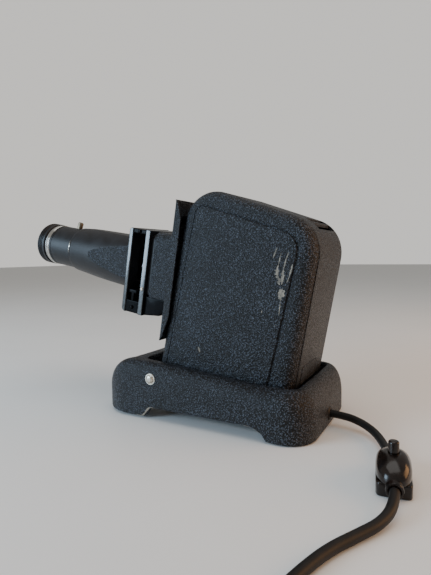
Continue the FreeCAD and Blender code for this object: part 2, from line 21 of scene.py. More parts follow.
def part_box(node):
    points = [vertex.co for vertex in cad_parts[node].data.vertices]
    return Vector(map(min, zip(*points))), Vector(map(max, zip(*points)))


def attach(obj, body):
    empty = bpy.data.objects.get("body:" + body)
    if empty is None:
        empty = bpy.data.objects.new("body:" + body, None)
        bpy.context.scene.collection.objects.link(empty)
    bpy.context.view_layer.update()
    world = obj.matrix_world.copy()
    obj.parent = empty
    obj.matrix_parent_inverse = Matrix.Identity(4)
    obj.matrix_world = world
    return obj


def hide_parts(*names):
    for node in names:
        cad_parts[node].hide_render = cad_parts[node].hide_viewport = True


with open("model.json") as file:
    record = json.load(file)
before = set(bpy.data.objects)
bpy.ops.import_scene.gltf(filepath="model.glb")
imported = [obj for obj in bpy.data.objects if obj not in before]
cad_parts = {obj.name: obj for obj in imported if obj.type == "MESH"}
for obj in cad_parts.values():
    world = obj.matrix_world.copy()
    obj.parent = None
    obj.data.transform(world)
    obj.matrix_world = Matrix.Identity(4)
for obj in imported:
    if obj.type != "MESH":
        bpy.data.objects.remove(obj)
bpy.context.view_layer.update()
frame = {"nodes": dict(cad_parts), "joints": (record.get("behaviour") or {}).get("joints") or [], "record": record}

log = logging.getLogger("slide_projector")
MM = 0.001


class Body(Enum):
    """The bodies that pieces ride on."""

    BASE = "base"
    LAMPHOUSE = "lamphouse"
    LENS = "lens"
    BUTTON = "button"


class Slot(Enum):
    """The record's material slots."""

    CRINKLE = "crinkle_black"
    GLOSS = "gloss_black"
    BARREL = "barrel_black"
    CHROME = "chrome_plate"
    NICKEL = "nickel_screw"
    STEEL = "steel"
    BRASS = "brass"
    FOOT = "foot_rubber"
    FIBRE = "fibre"
    BAKELITE = "bakelite"
    CORD = "cord_rubber"
    LENS = "lens_glass"
    HEAT_GLASS = "heat_glass"
    REFLECTOR = "bright_reflector"
    CERAMIC = "ceramic_socket"
    CLOTH = "wire_cloth"


def find_joint(name: str) -> dict:
    """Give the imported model's joint of that name.

    Args:
        name: the joint's name.

    Returns:
        The joint's own entry.
    """
    return next(joint for joint in frame["joints"] if joint["name"] == name)


TILT = find_joint("tilt")
LEAN = math.radians(TILT["range_deg"][1])
HOUSE = Matrix.Translation(Vector(TILT["pos_m"])) @ Matrix.Rotation(-LEAN, 4, "X")
AXIS_UP = 94.4
OPTICS = HOUSE @ Matrix.Translation((0, 0, AXIS_UP * MM))
LEVEL = Matrix.Identity(4)


# ------------------------ shader writing
class Signal:
    """One output socket of a shader, which takes part in ordinary arithmetic."""

    def __init__(self, shader: "Shader", socket: bpy.types.NodeSocket) -> None:
        """Hold the socket and the shader that it belongs to."""
        self.shader = shader
        self.socket = socket

    def maths(self, operation: str, *values: Union["Signal", float]) -> "Signal":
        """Add one Math node.

        Args:
            operation: the Math node's operation.
            values: what its sockets take, in order.

        Returns:
            The node's result.
        """
        sockets = dict(enumerate(values))
        return self.shader.node("ShaderNodeMath", {"operation": operation}, sockets)

    def __add__(self, other: Union["Signal", float]) -> "Signal":
        """Add."""
        return self.maths("ADD", self, other)

    __radd__ = __add__

    def __sub__(self, other: Union["Signal", float]) -> "Signal":
        """Subtract."""
        return self.maths("SUBTRACT", self, other)

    def __rsub__(self, other: Union["Signal", float]) -> "Signal":
        """Subtract from a number."""
        return self.maths("SUBTRACT", other, self)

    def __mul__(self, other: Union["Signal", float]) -> "Signal":
        """Multiply."""
        return self.maths("MULTIPLY", self, other)

    __rmul__ = __mul__

    def power(self, exponent: float) -> "Signal":
        """Raise to a power."""
        return self.maths("POWER", self, exponent)

    def step(self, low: float, high: float) -> "Signal":
        """Rise smoothly from 0 at low to 1 at high."""
        return self.spread(low, high, 0.0, 1.0)

    def spread(self, low: float, high: float, first: float, last: float) -> "Signal":
        """Map low to first and high to last, smoothly and clamped.

        Args:
            low: the value that gives first.
            high: the value that gives last.
            first: the result at low.
            last: the result at high.

        Returns:
            The mapped value.
        """
        return self.shader.node(
            "ShaderNodeMapRange", {"interpolation_type": "SMOOTHSTEP"},
            {0: self, 1: low, 2: high, 3: first, 4: last})


class Shader:
    """A material's node tree with a Principled surface, written as expressions."""

    def __init__(self, name: str) -> None:
        """Start a material with its surface and output.

        Args:
            name: the material's name.
        """
        self.material = bpy.data.materials.new(name)
        self.material.use_nodes = True
        self.tree = self.material.node_tree
        self.tree.nodes.clear()
        output = self.tree.nodes.new("ShaderNodeOutputMaterial")
        self.surface = self.tree.nodes.new("ShaderNodeBsdfPrincipled")
        self.tree.links.new(self.surface.outputs[0], output.inputs[0])

    def node(self, kind: str, settings: Optional[dict] = None,
             sockets: Optional[dict] = None, output: Union[int, str] = 0) -> Signal:
        """Add one node.

        Args:
            kind: the node's type.
            settings: its own settings, set first; "stops" fills a ramp.
            sockets: the value or the link of each socket, by name or number.
            output: which of its outputs to give.

        Returns:
            That output.
        """
        made = self.tree.nodes.new(kind)
        for name, value in (settings or {}).items():
            if name == "stops":
                self._fill_ramp(made, value)
            else:
                setattr(made, name, value)
        for name, value in (sockets or {}).items():
            self._feed(made.inputs[name], value)
        return Signal(self, made.outputs[output])

    def _fill_ramp(self, ramp: bpy.types.Node, stops: Sequence[tuple]) -> None:
        """Give a ramp its stops.

        Args:
            ramp: the ramp's node.
            stops: each stop's place and colour.
        """
        elements = ramp.color_ramp.elements
        while len(elements) < len(stops):
            elements.new(0.5)
        for element, (place, colour) in zip(elements, stops):
            element.position = place
            element.color = (*colour, 1.0)

    def _feed(self, socket: bpy.types.NodeSocket, value: object) -> None:
        """Link a socket, or set its value.

        Args:
            socket: the socket to feed.
            value: a signal, a number or a colour.
        """
        if isinstance(value, Signal):
            self.tree.links.new(value.socket, socket)
        elif socket.type == "RGBA" and len(value) == 3:
            socket.default_value = (*value, 1.0)
        else:
            socket.default_value = value

    def place(self) -> Signal:
        """Give Object coordinates, in metres."""
        return self.node("ShaderNodeTexCoord", output="Object")

    def noise(self, at: Signal, cell: float, detail: float = 3.0,
              rough: float = 0.5, distortion: float = 0.0) -> Signal:
        """Add fractal noise.

        Args:
            at: the coordinates.
            cell: its cells' size in millimetres.
            detail: how many octaves.
            rough: how strong the finer octaves are.
            distortion: how far it is warped.

        Returns:
            A value about 0.5.
        """
        return self.node("ShaderNodeTexNoise", None, {
            "Vector": at, "Scale": 1 / (cell * MM), "Detail": detail,
            "Roughness": rough, "Distortion": distortion})

    def mix(self, share: Union[Signal, float], first: object, last: object) -> Signal:
        """Mix two colours."""
        return self.node("ShaderNodeMix", {"data_type": "RGBA"},
                         {0: share, 6: first, 7: last}, 2)

    def bump(self, height: Signal, depth: float, strength: float = 1.0) -> Signal:
        """Turn a height of 0 to 1 into a normal; depth is in millimetres."""
        return self.node("ShaderNodeBump", None, {
            "Strength": strength, "Distance": depth * MM, "Height": height})

    def finish(self, **values: object) -> bpy.types.Material:
        """Set the surface's sockets, with _ for a space, and give the material."""
        for name, value in values.items():
            self._feed(self.surface.inputs[name.replace("_", " ")], value)
        return self.material


# ------------------------ finishes
@dataclass(frozen=True)
class CrinkleEnamel:
    """Baked black wrinkle enamel with a painted bluish highlight on its raised folds, worn through to metal."""

    name: str = "crinkle_enamel"
    cell: float = 1.25
    dark: tuple = (0.0014, 0.0015, 0.002)
    # light is a painted highlight: the bluish glint colour that the raised folds are lightened to.
    light: tuple = (0.098, 0.118, 0.152)
    metal: tuple = (0.42, 0.39, 0.34)

    def build(self) -> bpy.types.Material:
        """Make the material."""
        shader = Shader(self.name)
        place = shader.place()
        drift = shader.noise(place, self.cell * 2.4, 1.0)
        warped = shader.node("ShaderNodeVectorMath", {"operation": "MULTIPLY_ADD"}, {
            0: shader.node("ShaderNodeCombineXYZ", None, {0: drift, 1: drift, 2: drift}),
            1: (self.cell * MM * 1.1,) * 3, 2: place})
        folds = shader.node("ShaderNodeTexVoronoi", {"feature": "SMOOTH_F1"}, {
            "Vector": warped, "Scale": 1 / (self.cell * MM), "Smoothness": 0.55})
        ridge = (1 - folds).power(1.6)
        grain = shader.noise(place, self.cell * 0.45, 2.0, 0.6)
        broad = shader.noise(place, 24.0, 3.0, 0.55)
        height = ridge * 0.8 + grain * 0.35
        worn = shader.node("ShaderNodeAttribute", {"attribute_name": "wear"}, None, "Fac")
        tear = shader.noise(place, 4.2, 4.0, 0.7)
        chip = (worn * 1.25 - tear).step(0.0, 0.05)
        # Painted highlight: the raised folds are lightened from the black enamel towards the bluish light colour.
        enamel_with_painted_highlight = shader.mix((ridge * 0.8 + broad * 0.2 + grain * 0.35).step(0.5, 1.0),
                           self.dark, self.light)
        colour = shader.mix(chip, enamel_with_painted_highlight, self.metal)
        return shader.finish(
            Base_Color=colour, Metallic=chip * 0.65,
            Roughness=(0.46 - ridge * 0.26 + broad * 0.08),
            Specular_IOR_Level=0.3,
            Normal=shader.bump(height * (1 - chip * 0.8), 0.9, 1.0))


@dataclass(frozen=True)
class SmoothEnamel:
    """Stoved black enamel with a little orange peel, dust and rubbed patches."""

    name: str
    colour: tuple
    rubbed: tuple
    roughness: float
    coat: float
    peel: float = 0.03
    shine: float = 0.5

    def build(self) -> bpy.types.Material:
        """Make the material."""
        shader = Shader(self.name)
        place = shader.place()
        broad = shader.noise(place, 14.0, 4.0, 0.6)
        fine = shader.noise(place, 1.1, 3.0, 0.6)
        dust = shader.noise(place, 0.5, 2.0, 0.7).step(0.66, 0.78)
        tone = shader.mix(broad.step(0.35, 0.75), self.colour, self.rubbed)
        return shader.finish(
            Base_Color=shader.mix(dust * 0.35, tone, (0.09, 0.09, 0.09)),
            Roughness=self.roughness + broad * 0.12 + dust * 0.25,
            Coat_Weight=self.coat, Coat_Roughness=0.12, Specular_IOR_Level=self.shine,
            Normal=shader.bump(fine * 0.6 + broad * 0.4, self.peel))


@dataclass(frozen=True)
class LathedEnamel:
    """Satin black enamel on turned tube, with fine rings and rub marks along it."""

    name: str = "satin_barrel"
    ring: float = 0.9

    def build(self) -> bpy.types.Material:
        """Make the material."""
        shader = Shader(self.name)
        place = shader.place()
        along = shader.node("ShaderNodeMapping", {"vector_type": "POINT"}, {
            "Vector": place, "Rotation": (LEAN, 0, 0)})
        lines = shader.node("ShaderNodeTexWave", {
            "wave_type": "BANDS", "bands_direction": "Y"}, {
            "Vector": along, "Scale": 1 / (self.ring * MM * 20), "Distortion": 1.2,
            "Detail": 2.0, "Detail Scale": 3.0})
        stretched = shader.node("ShaderNodeMapping", {"vector_type": "POINT"}, {
            "Vector": along, "Scale": (1, 0.12, 1)})
        rub = shader.noise(stretched, 1.6, 4.0, 0.65)
        broad = shader.noise(place, 11.0, 3.0)
        marks = rub.step(0.6, 0.8)
        tone = shader.mix(broad.step(0.3, 0.7), (0.006, 0.006, 0.007), (0.012, 0.012, 0.014))
        return shader.finish(
            Base_Color=shader.mix(marks * 0.5, tone, (0.05, 0.05, 0.052)),
            Roughness=0.33 + broad * 0.2 - marks * 0.06, Specular_IOR_Level=0.36,
            Normal=shader.bump(lines * 0.6 + rub * 0.5, 0.025))


@dataclass(frozen=True)
class PlatedMetal:
    """Bare or plated metal with stain, polish marks and fine scratches."""

    name: str
    colour: tuple
    stain: tuple
    roughness: float
    stained: float = 0.3
    grain: float = 0.012

    def build(self) -> bpy.types.Material:
        """Make the material."""
        shader = Shader(self.name)
        place = shader.place()
        patch = shader.noise(place, 5.0, 4.0, 0.65)
        fine = shader.noise(place, 0.6, 3.0, 0.6)
        mask = (patch * 0.8 + fine * 0.3).step(0.5, 0.75) * self.stained
        return shader.finish(
            Base_Color=shader.mix(mask, self.colour, self.stain),
            Metallic=1.0 - mask * 0.35,
            Roughness=self.roughness + mask * 0.5 + fine * 0.06,
            Normal=shader.bump(fine * 0.7 + patch * 0.3, self.grain))


@dataclass(frozen=True)
class Bakelite:
    """Moulded dark brown bakelite, mottled and polished by handling."""

    name: str = "brown_bakelite"

    def build(self) -> bpy.types.Material:
        """Make the material."""
        shader = Shader(self.name)
        place = shader.place()
        cloud = shader.noise(place, 6.0, 4.0, 0.6, 0.8)
        fine = shader.noise(place, 0.8, 3.0, 0.6)
        dull = shader.noise(place, 9.0, 2.0).step(0.45, 0.7)
        tone = shader.mix(cloud.step(0.35, 0.7), (0.005, 0.003, 0.0024), (0.013, 0.007, 0.005))
        return shader.finish(
            Base_Color=tone, Roughness=0.16 + dull * 0.1 + fine * 0.04,
            Coat_Weight=0.1, Coat_Roughness=0.1, Specular_IOR_Level=0.34,
            Normal=shader.bump(fine * 0.5 + cloud * 0.5, 0.012))


@dataclass(frozen=True)
class Rubber:
    """Black-brown rubber with bloom in patches and a fine grain."""

    name: str
    dark: tuple
    bloom: tuple
    roughness: float
    depth: float

    def build(self) -> bpy.types.Material:
        """Make the material."""
        shader = Shader(self.name)
        place = shader.place()
        patch = shader.noise(place, 12.0, 4.0, 0.6)
        grain = shader.noise(place, 0.7, 3.0, 0.6)
        tone = shader.mix((patch * 0.8 + grain * 0.25).step(0.35, 0.8), self.dark, self.bloom)
        return shader.finish(
            Base_Color=tone, Roughness=self.roughness + patch * 0.12 - grain * 0.06,
            Specular_IOR_Level=0.3,
            Normal=shader.bump(grain * 0.8 + patch * 0.2, self.depth))


@dataclass(frozen=True)
class ClearGlass:
    """Polished glass, with the tint of its melt and a trace of dust."""

    name: str
    tint: tuple
    index: float = 1.52

    def build(self) -> bpy.types.Material:
        """Make the material."""
        shader = Shader(self.name)
        place = shader.place()
        dust = shader.noise(place, 0.9, 4.0, 0.7).step(0.62, 0.8)
        return shader.finish(
            Base_Color=shader.mix(dust * 0.2, self.tint, (0.7, 0.7, 0.7)),
            Roughness=0.02 + dust * 0.12, IOR=self.index, Transmission_Weight=0.94,
            Coat_Weight=0.25, Coat_Roughness=0.03)


@dataclass(frozen=True)
class Mottled:
    """A plain baked, pressed or woven surface that varies in tone and grain."""

    name: str
    first: tuple
    last: tuple
    cell: float
    roughness: float
    depth: float
    across: tuple = (1.0, 1.0, 1.0)

    def build(self) -> bpy.types.Material:
        """Make the material."""
        shader = Shader(self.name)
        stretched = shader.node("ShaderNodeMapping", {"vector_type": "POINT"}, {
            "Vector": shader.place(), "Scale": self.across})
        fine = shader.noise(stretched, self.cell, 4.0, 0.65)
        broad = shader.noise(stretched, self.cell * 9, 3.0)
        tone = (fine * 0.5 + broad * 0.5).step(0.35, 0.65)
        return shader.finish(
            Base_Color=shader.mix(tone, self.first, self.last),
            Roughness=self.roughness + fine * 0.15,
            Normal=shader.bump(fine, self.depth))


@dataclass
class PaintShop:
    """Every finish of the object, each made once."""

    finishes: dict = field(default_factory=lambda: {
        Slot.CRINKLE: CrinkleEnamel(),
        Slot.GLOSS: SmoothEnamel("gloss_enamel", (0.0065, 0.0068, 0.008),
                                 (0.013, 0.0135, 0.015), 0.16, 0.45),
        Slot.BARREL: LathedEnamel(),
        Slot.CHROME: PlatedMetal("chrome_plate", (0.56, 0.55, 0.52), (0.2, 0.16, 0.12),
                                 0.13, 0.75, 0.01),
        Slot.NICKEL: PlatedMetal("nickel_plate", (0.66, 0.63, 0.56), (0.2, 0.15, 0.1),
                                 0.24, 0.75, 0.02),
        Slot.STEEL: PlatedMetal("plain_steel", (0.42, 0.42, 0.43), (0.16, 0.12, 0.09),
                                0.36, 0.5, 0.02),
        Slot.BRASS: PlatedMetal("dull_brass", (0.22, 0.18, 0.13), (0.08, 0.06, 0.045),
                                0.38, 0.7, 0.03),
        Slot.FOOT: Rubber("matt_rubber", (0.009, 0.009, 0.009), (0.024, 0.023, 0.022),
                          0.78, 0.08),
        Slot.FIBRE: Mottled("red_fibre", (0.13, 0.05, 0.03), (0.22, 0.09, 0.05), 0.6,
                            0.62, 0.03),
        Slot.BAKELITE: Bakelite(),
        Slot.CORD: Rubber("cord_rubber", (0.006, 0.005, 0.0046), (0.014, 0.0115, 0.01),
                          0.5, 0.05),
        Slot.LENS: ClearGlass("lens_glass", (0.93, 0.95, 0.98)),
        Slot.HEAT_GLASS: ClearGlass("heat_glass", (0.78, 0.93, 0.88)),
        Slot.REFLECTOR: PlatedMetal("spun_aluminium", (0.8, 0.8, 0.81), (0.5, 0.48, 0.45),
                                    0.14, 0.3, 0.01),
        Slot.CERAMIC: Mottled("glazed_ceramic", (0.62, 0.6, 0.54), (0.72, 0.7, 0.65), 1.5,
                              0.22, 0.02),
        Slot.CLOTH: Mottled("braided_sleeve", (0.2, 0.17, 0.11), (0.42, 0.36, 0.25), 0.5,
                            0.8, 0.12, (1.0, 0.4, 1.0)),
    })
    made: dict = field(default_factory=dict)

    def material(self, slot: Slot) -> bpy.types.Material:
        """Give a slot's material, made at its first use.

        Args:
            slot: the record's slot.

        Returns:
            The material.
        """
        if slot not in self.made:
            self.made[slot] = self.finishes[slot].build()
        return self.made[slot]

    def bare_patches(self) -> bpy.types.Material:
        """Give the primer that shows where the enamel is scraped off."""
        return self._extra("scrape", Mottled(
            "scraped_primer", (0.085, 0.075, 0.06), (0.33, 0.29, 0.23), 0.55, 0.55, 0.05))

    def painted_shade_gloss(self) -> bpy.types.Material:
        """Give a darker, less shiny copy of the gloss enamel, as painted shade for the gate's inner parts."""
        # Painted shade: the gloss enamel made darker and nearly without shine.
        return self._extra("painted_shade", SmoothEnamel(
            "painted_shade_enamel", (0.002, 0.002, 0.0025), (0.006, 0.006, 0.007), 0.16, 0.0, 0.02, 0.05))

    def _extra(self, name: str, finish: object) -> bpy.types.Material:
        """Give a finish that no slot holds, made at its first use.

        Args:
            name: the finish's name.
            finish: what builds it.

        Returns:
            The material.
        """
        if name not in self.made:
            self.made[name] = finish.build()
        return self.made[name]


PAINT = PaintShop()


# ------------------------ mesh making
@dataclass(frozen=True)
class EdgePoint:
    """A point of a flat outline, with the direction that faces out of it."""

    place: Vector
    outward: Vector

    def moved(self, distance: float) -> Vector:
        """Give the point moved outward."""
        return self.place + self.outward * distance


def rounded_outline(corners: Sequence[tuple], arc_steps: int = 8,
                    spans: Union[int, Sequence[int]] = 6) -> list[EdgePoint]:
    """Round the corners of a convex outline that runs anticlockwise.

    Args:
        corners: each corner as (first, second, radius).
        arc_steps: how many steps each corner's arc takes.
        spans: how many steps each straight takes, in one number or one per corner.

    Returns:
        The outline's points, from the first corner's arc on.
    """
    count = len(corners)
    steps = [spans] * count if isinstance(spans, int) else list(spans)
    places = [Vector(corner[:2]) for corner in corners]
    arcs = []
    for index, corner in enumerate(corners):
        arriving = (places[index] - places[index - 1]).normalized()
        leaving = (places[(index + 1) % count] - places[index]).normalized()
        turn = math.atan2(arriving.cross(leaving), arriving.dot(leaving))
        radius = corner[2]
        start = places[index] - arriving * radius * math.tan(turn / 2)
        facing = Vector((arriving.y, -arriving.x))
        centre = start - facing * radius
        arc = []
        for step in range(arc_steps + 1):
            angle = turn * step / arc_steps
            outward = Matrix.Rotation(angle, 2) @ facing
            arc.append(EdgePoint(centre + outward * radius, outward))
        arcs.append(arc)
    outline = []
    for index, arc in enumerate(arcs):
        outline.extend(arc)
        last, following = arc[-1], arcs[(index + 1) % count][0]
        for step in range(1, steps[index]):
            between = last.place.lerp(following.place, step / steps[index])
            outline.append(EdgePoint(between, last.outward))
    return outline


def inset_corners(corners: Sequence[tuple], distance: float) -> list[tuple]:
    """Draw an outline's corners inward, so that its shape stays clean.

    Args:
        corners: each corner as (first, second, radius), anticlockwise.
        distance: how far inward.

    Returns:
        The corners of the smaller outline.
    """
    count = len(corners)
    drawn = []
    for index, corner in enumerate(corners):
        here = Vector(corner[:2])
        arriving = (here - Vector(corners[index - 1][:2])).normalized()
        leaving = (Vector(corners[(index + 1) % count][:2]) - here).normalized()
        left, right = Vector((-arriving.y, arriving.x)), Vector((-leaving.y, leaving.x))
        moved = here + (left + right) * (distance / (1 + left.dot(right)))
        drawn.append((moved.x, moved.y, max(corner[2] - distance, 0.05)))
    return drawn


def ease(value: float, low: float, high: float) -> float:
    """Rise smoothly from 0 at low to 1 at high."""
    share = min(max((value - low) / (high - low), 0.0), 1.0)
    return share * share * (3 - 2 * share)


def along_line(value: float, stops: Sequence[tuple[float, float]]) -> float:
    """Read a value from straight runs between stops.

    Args:
        value: where to read.
        stops: (place, value) pairs in rising order.

    Returns:
        The value there, held at both ends.
    """
    if value <= stops[0][0]:
        return stops[0][1]
    for (low, first), (high, last) in zip(stops, stops[1:]):
        if value <= high:
            return first + (last - first) * (value - low) / (high - low)
    return stops[-1][1]


def squircle(half_first: float, half_second: float, power: float,
             steps: int) -> list[tuple[float, float]]:
    """Give an oval whose corners fill out as the power grows past 2.

    Args:
        half_first: half its first width.
        half_second: half its second width.
        power: how full its corners are.
        steps: how many points it has.

    Returns:
        Its points, once round.
    """
    points = []
    for step in range(steps):
        angle = math.tau * step / steps
        first, second = math.cos(angle), math.sin(angle)
        points.append((
            half_first * math.copysign(abs(first) ** (2 / power), first),
            half_second * math.copysign(abs(second) ** (2 / power), second)))
    return points


class Solid:
    """A closed mesh in the making, in millimetres, from rings of points."""

    def __init__(self) -> None:
        """Start empty."""
        self.points: list[Vector] = []
        self.faces: list[tuple[int, ...]] = []
        self.finish_of: list[int] = []
        self.finish = 0

    def ring(self, points: Iterable[Sequence[float]]) -> list[int]:
        """Add points and give their numbers.

        Args:
            points: the points to add.

        Returns:
            Their numbers.
        """
        start = len(self.points)
        self.points.extend(Vector(point) for point in points)
        return list(range(start, len(self.points)))

    def face(self, corners: Iterable[int]) -> None:
        """Add one face."""
        self.faces.append(tuple(corners))
        self.finish_of.append(self.finish)

    def band(self, first: Sequence[int], second: Sequence[int],
             closed: bool = True) -> None:
        """Join two rings of equal count with quads.

        Args:
            first: one ring's numbers.
            second: the other's.
            closed: whether the rings close.
        """
        count = len(first)
        for index in range(count if closed else count - 1):
            after = (index + 1) % count
            self.face((first[index], first[after], second[after], second[index]))

    def loft(self, rings: Sequence[Iterable[Sequence[float]]], caps: bool = True,
             loop: bool = False) -> list[list[int]]:
        """Join rings in order.

        Args:
            rings: the rings' points, all of one count.
            caps: whether the first and the last ring are closed.
            loop: whether the last ring joins the first.

        Returns:
            The rings' point numbers.
        """
        numbered = [self.ring(points) for points in rings]
        for first, second in zip(numbered, numbered[1:]):
            self.band(first, second)
        if loop:
            self.band(numbered[-1], numbered[0])
        elif caps:
            self.face(reversed(numbered[0]))
            self.face(numbered[-1])
        return numbered

    def frill(self, outer: Sequence[int], inner: Sequence[int]) -> None:
        """Fill the flat face between an outer ring and a ring inside it.

        Args:
            outer: the outer ring's numbers.
            inner: the inner ring's.
        """
        numbers = [*outer, *inner]
        loops = [[self.points[n] for n in outer], [self.points[n] for n in inner]]
        for triangle in tessellate_polygon(loops):
            self.face(numbers[corner] for corner in triangle)

    def turned(self, section: Sequence[tuple[float, float]], steps: int = 96,
               axis: str = "Y", centre: Sequence[float] = (0, 0, 0),
               loop: bool = False) -> None:
        """Turn a section about an axis.

        Args:
            section: (along, radius) pairs.
            steps: how many steps round.
            axis: the axis that it turns about, X, Y or Z.
            centre: a point of the axis.
            loop: whether the section closes on itself.
        """
        order = {"X": (0, 1, 2), "Y": (1, 2, 0), "Z": (2, 0, 1)}[axis]
        rings = []
        for along, radius in section:
            ring = []
            for step in range(steps):
                angle = math.tau * step / steps
                point = [0.0, 0.0, 0.0]
                point[order[0]] = along
                point[order[1]] = radius * math.cos(angle)
                point[order[2]] = radius * math.sin(angle)
                ring.append(Vector(point) + Vector(centre))
            rings.append(ring)
        self.loft(rings, caps=not loop, loop=loop)

    def box(self, low: Sequence[float], high: Sequence[float]) -> None:
        """Add a plain box."""
        corners = [(low[0], low[1]), (high[0], low[1]), (high[0], high[1]), (low[0], high[1])]
        self.loft([[(*corner, level) for corner in corners] for level in (low[2], high[2])])

    def make(self, name: str, placed: Matrix, slots: Sequence[bpy.types.Material] = (),
             crease: float = 38.0) -> bpy.types.Object:
        """Make the object.

        Args:
            name: the piece's name.
            placed: where its frame lies, in metres.
            slots: its materials.
            crease: the angle in degrees from which an edge looks sharp.

        Returns:
            The linked object, at the origin.
        """
        mesh = bpy.data.meshes.new(name)
        mesh.from_pydata(self.points, [], self.faces)
        mesh.polygons.foreach_set("material_index", self.finish_of)
        whole = bmesh.new()
        whole.from_mesh(mesh)
        bmesh.ops.remove_doubles(whole, verts=whole.verts, dist=0.0005)
        bmesh.ops.dissolve_degenerate(whole, edges=whole.edges, dist=0.0005)
        bmesh.ops.recalc_face_normals(whole, faces=whole.faces)
        whole.to_mesh(mesh)
        whole.free()
        mesh.transform(placed @ Matrix.Scale(MM, 4))
        mesh.shade_smooth()
        mesh.set_sharp_from_angle(angle=math.radians(crease))
        for material in slots:
            mesh.materials.append(material)
        piece = bpy.data.objects.new(name, mesh)
        bpy.context.scene.collection.objects.link(piece)
        return piece


def bake_modifiers(piece: bpy.types.Object) -> bpy.types.Object:
    """Turn a piece's modifiers into plain mesh and remove them.

    Args:
        piece: the piece, with its modifiers.

    Returns:
        The same piece.
    """
    bpy.context.view_layer.update()
    ready = piece.evaluated_get(bpy.context.evaluated_depsgraph_get())
    mesh = bpy.data.meshes.new_from_object(ready)
    piece.modifiers.clear()
    piece.data = mesh
    return piece


def carve(piece: bpy.types.Object, *tools: bpy.types.Object) -> bpy.types.Object:
    """Cut tools out of a piece and remove them.

    Args:
        piece: the piece to cut.
        tools: what is cut out of it.

    Returns:
        The same piece.
    """
    for tool in tools:
        cut = piece.modifiers.new("cut", "BOOLEAN")
        cut.operation = "DIFFERENCE"
        cut.solver = "EXACT"
        cut.object = tool
    bake_modifiers(piece)
    for tool in tools:
        bpy.data.objects.remove(tool)
    piece.data.shade_smooth()
    piece.data.set_sharp_from_angle(angle=math.radians(38))
    return piece


def softened(node: str, width: float, steps: int = 3) -> bpy.types.Object:
    """Copy a CAD node as a clean mesh with its edges rounded.

    Args:
        node: the CAD node.
        width: how much of each edge is rounded, in millimetres.
        steps: how many steps each rounding takes.

    Returns:
        The new object.
    """
    source = frame["nodes"][node].data
    mesh = bpy.data.meshes.new(node + "_soft")
    mesh.from_pydata([vertex.co.copy() for vertex in source.vertices], [],
                     [tuple(face.vertices) for face in source.polygons])
    whole = bmesh.new()
    whole.from_mesh(mesh)
    bmesh.ops.remove_doubles(whole, verts=whole.verts, dist=MM * 0.002)
    bmesh.ops.dissolve_limit(whole, angle_limit=math.radians(0.6), verts=whole.verts,
                             edges=whole.edges)
    whole.to_mesh(mesh)
    whole.free()
    piece = bpy.data.objects.new(node + "_dressed", mesh)
    bpy.context.scene.collection.objects.link(piece)
    bevel = piece.modifiers.new("edges", "BEVEL")
    bevel.width = width * MM
    bevel.segments = steps
    bevel.limit_method = "ANGLE"
    bevel.angle_limit = math.radians(35)
    bake_modifiers(piece)
    piece.data.shade_smooth()
    piece.data.set_sharp_from_angle(angle=math.radians(32))
    return piece


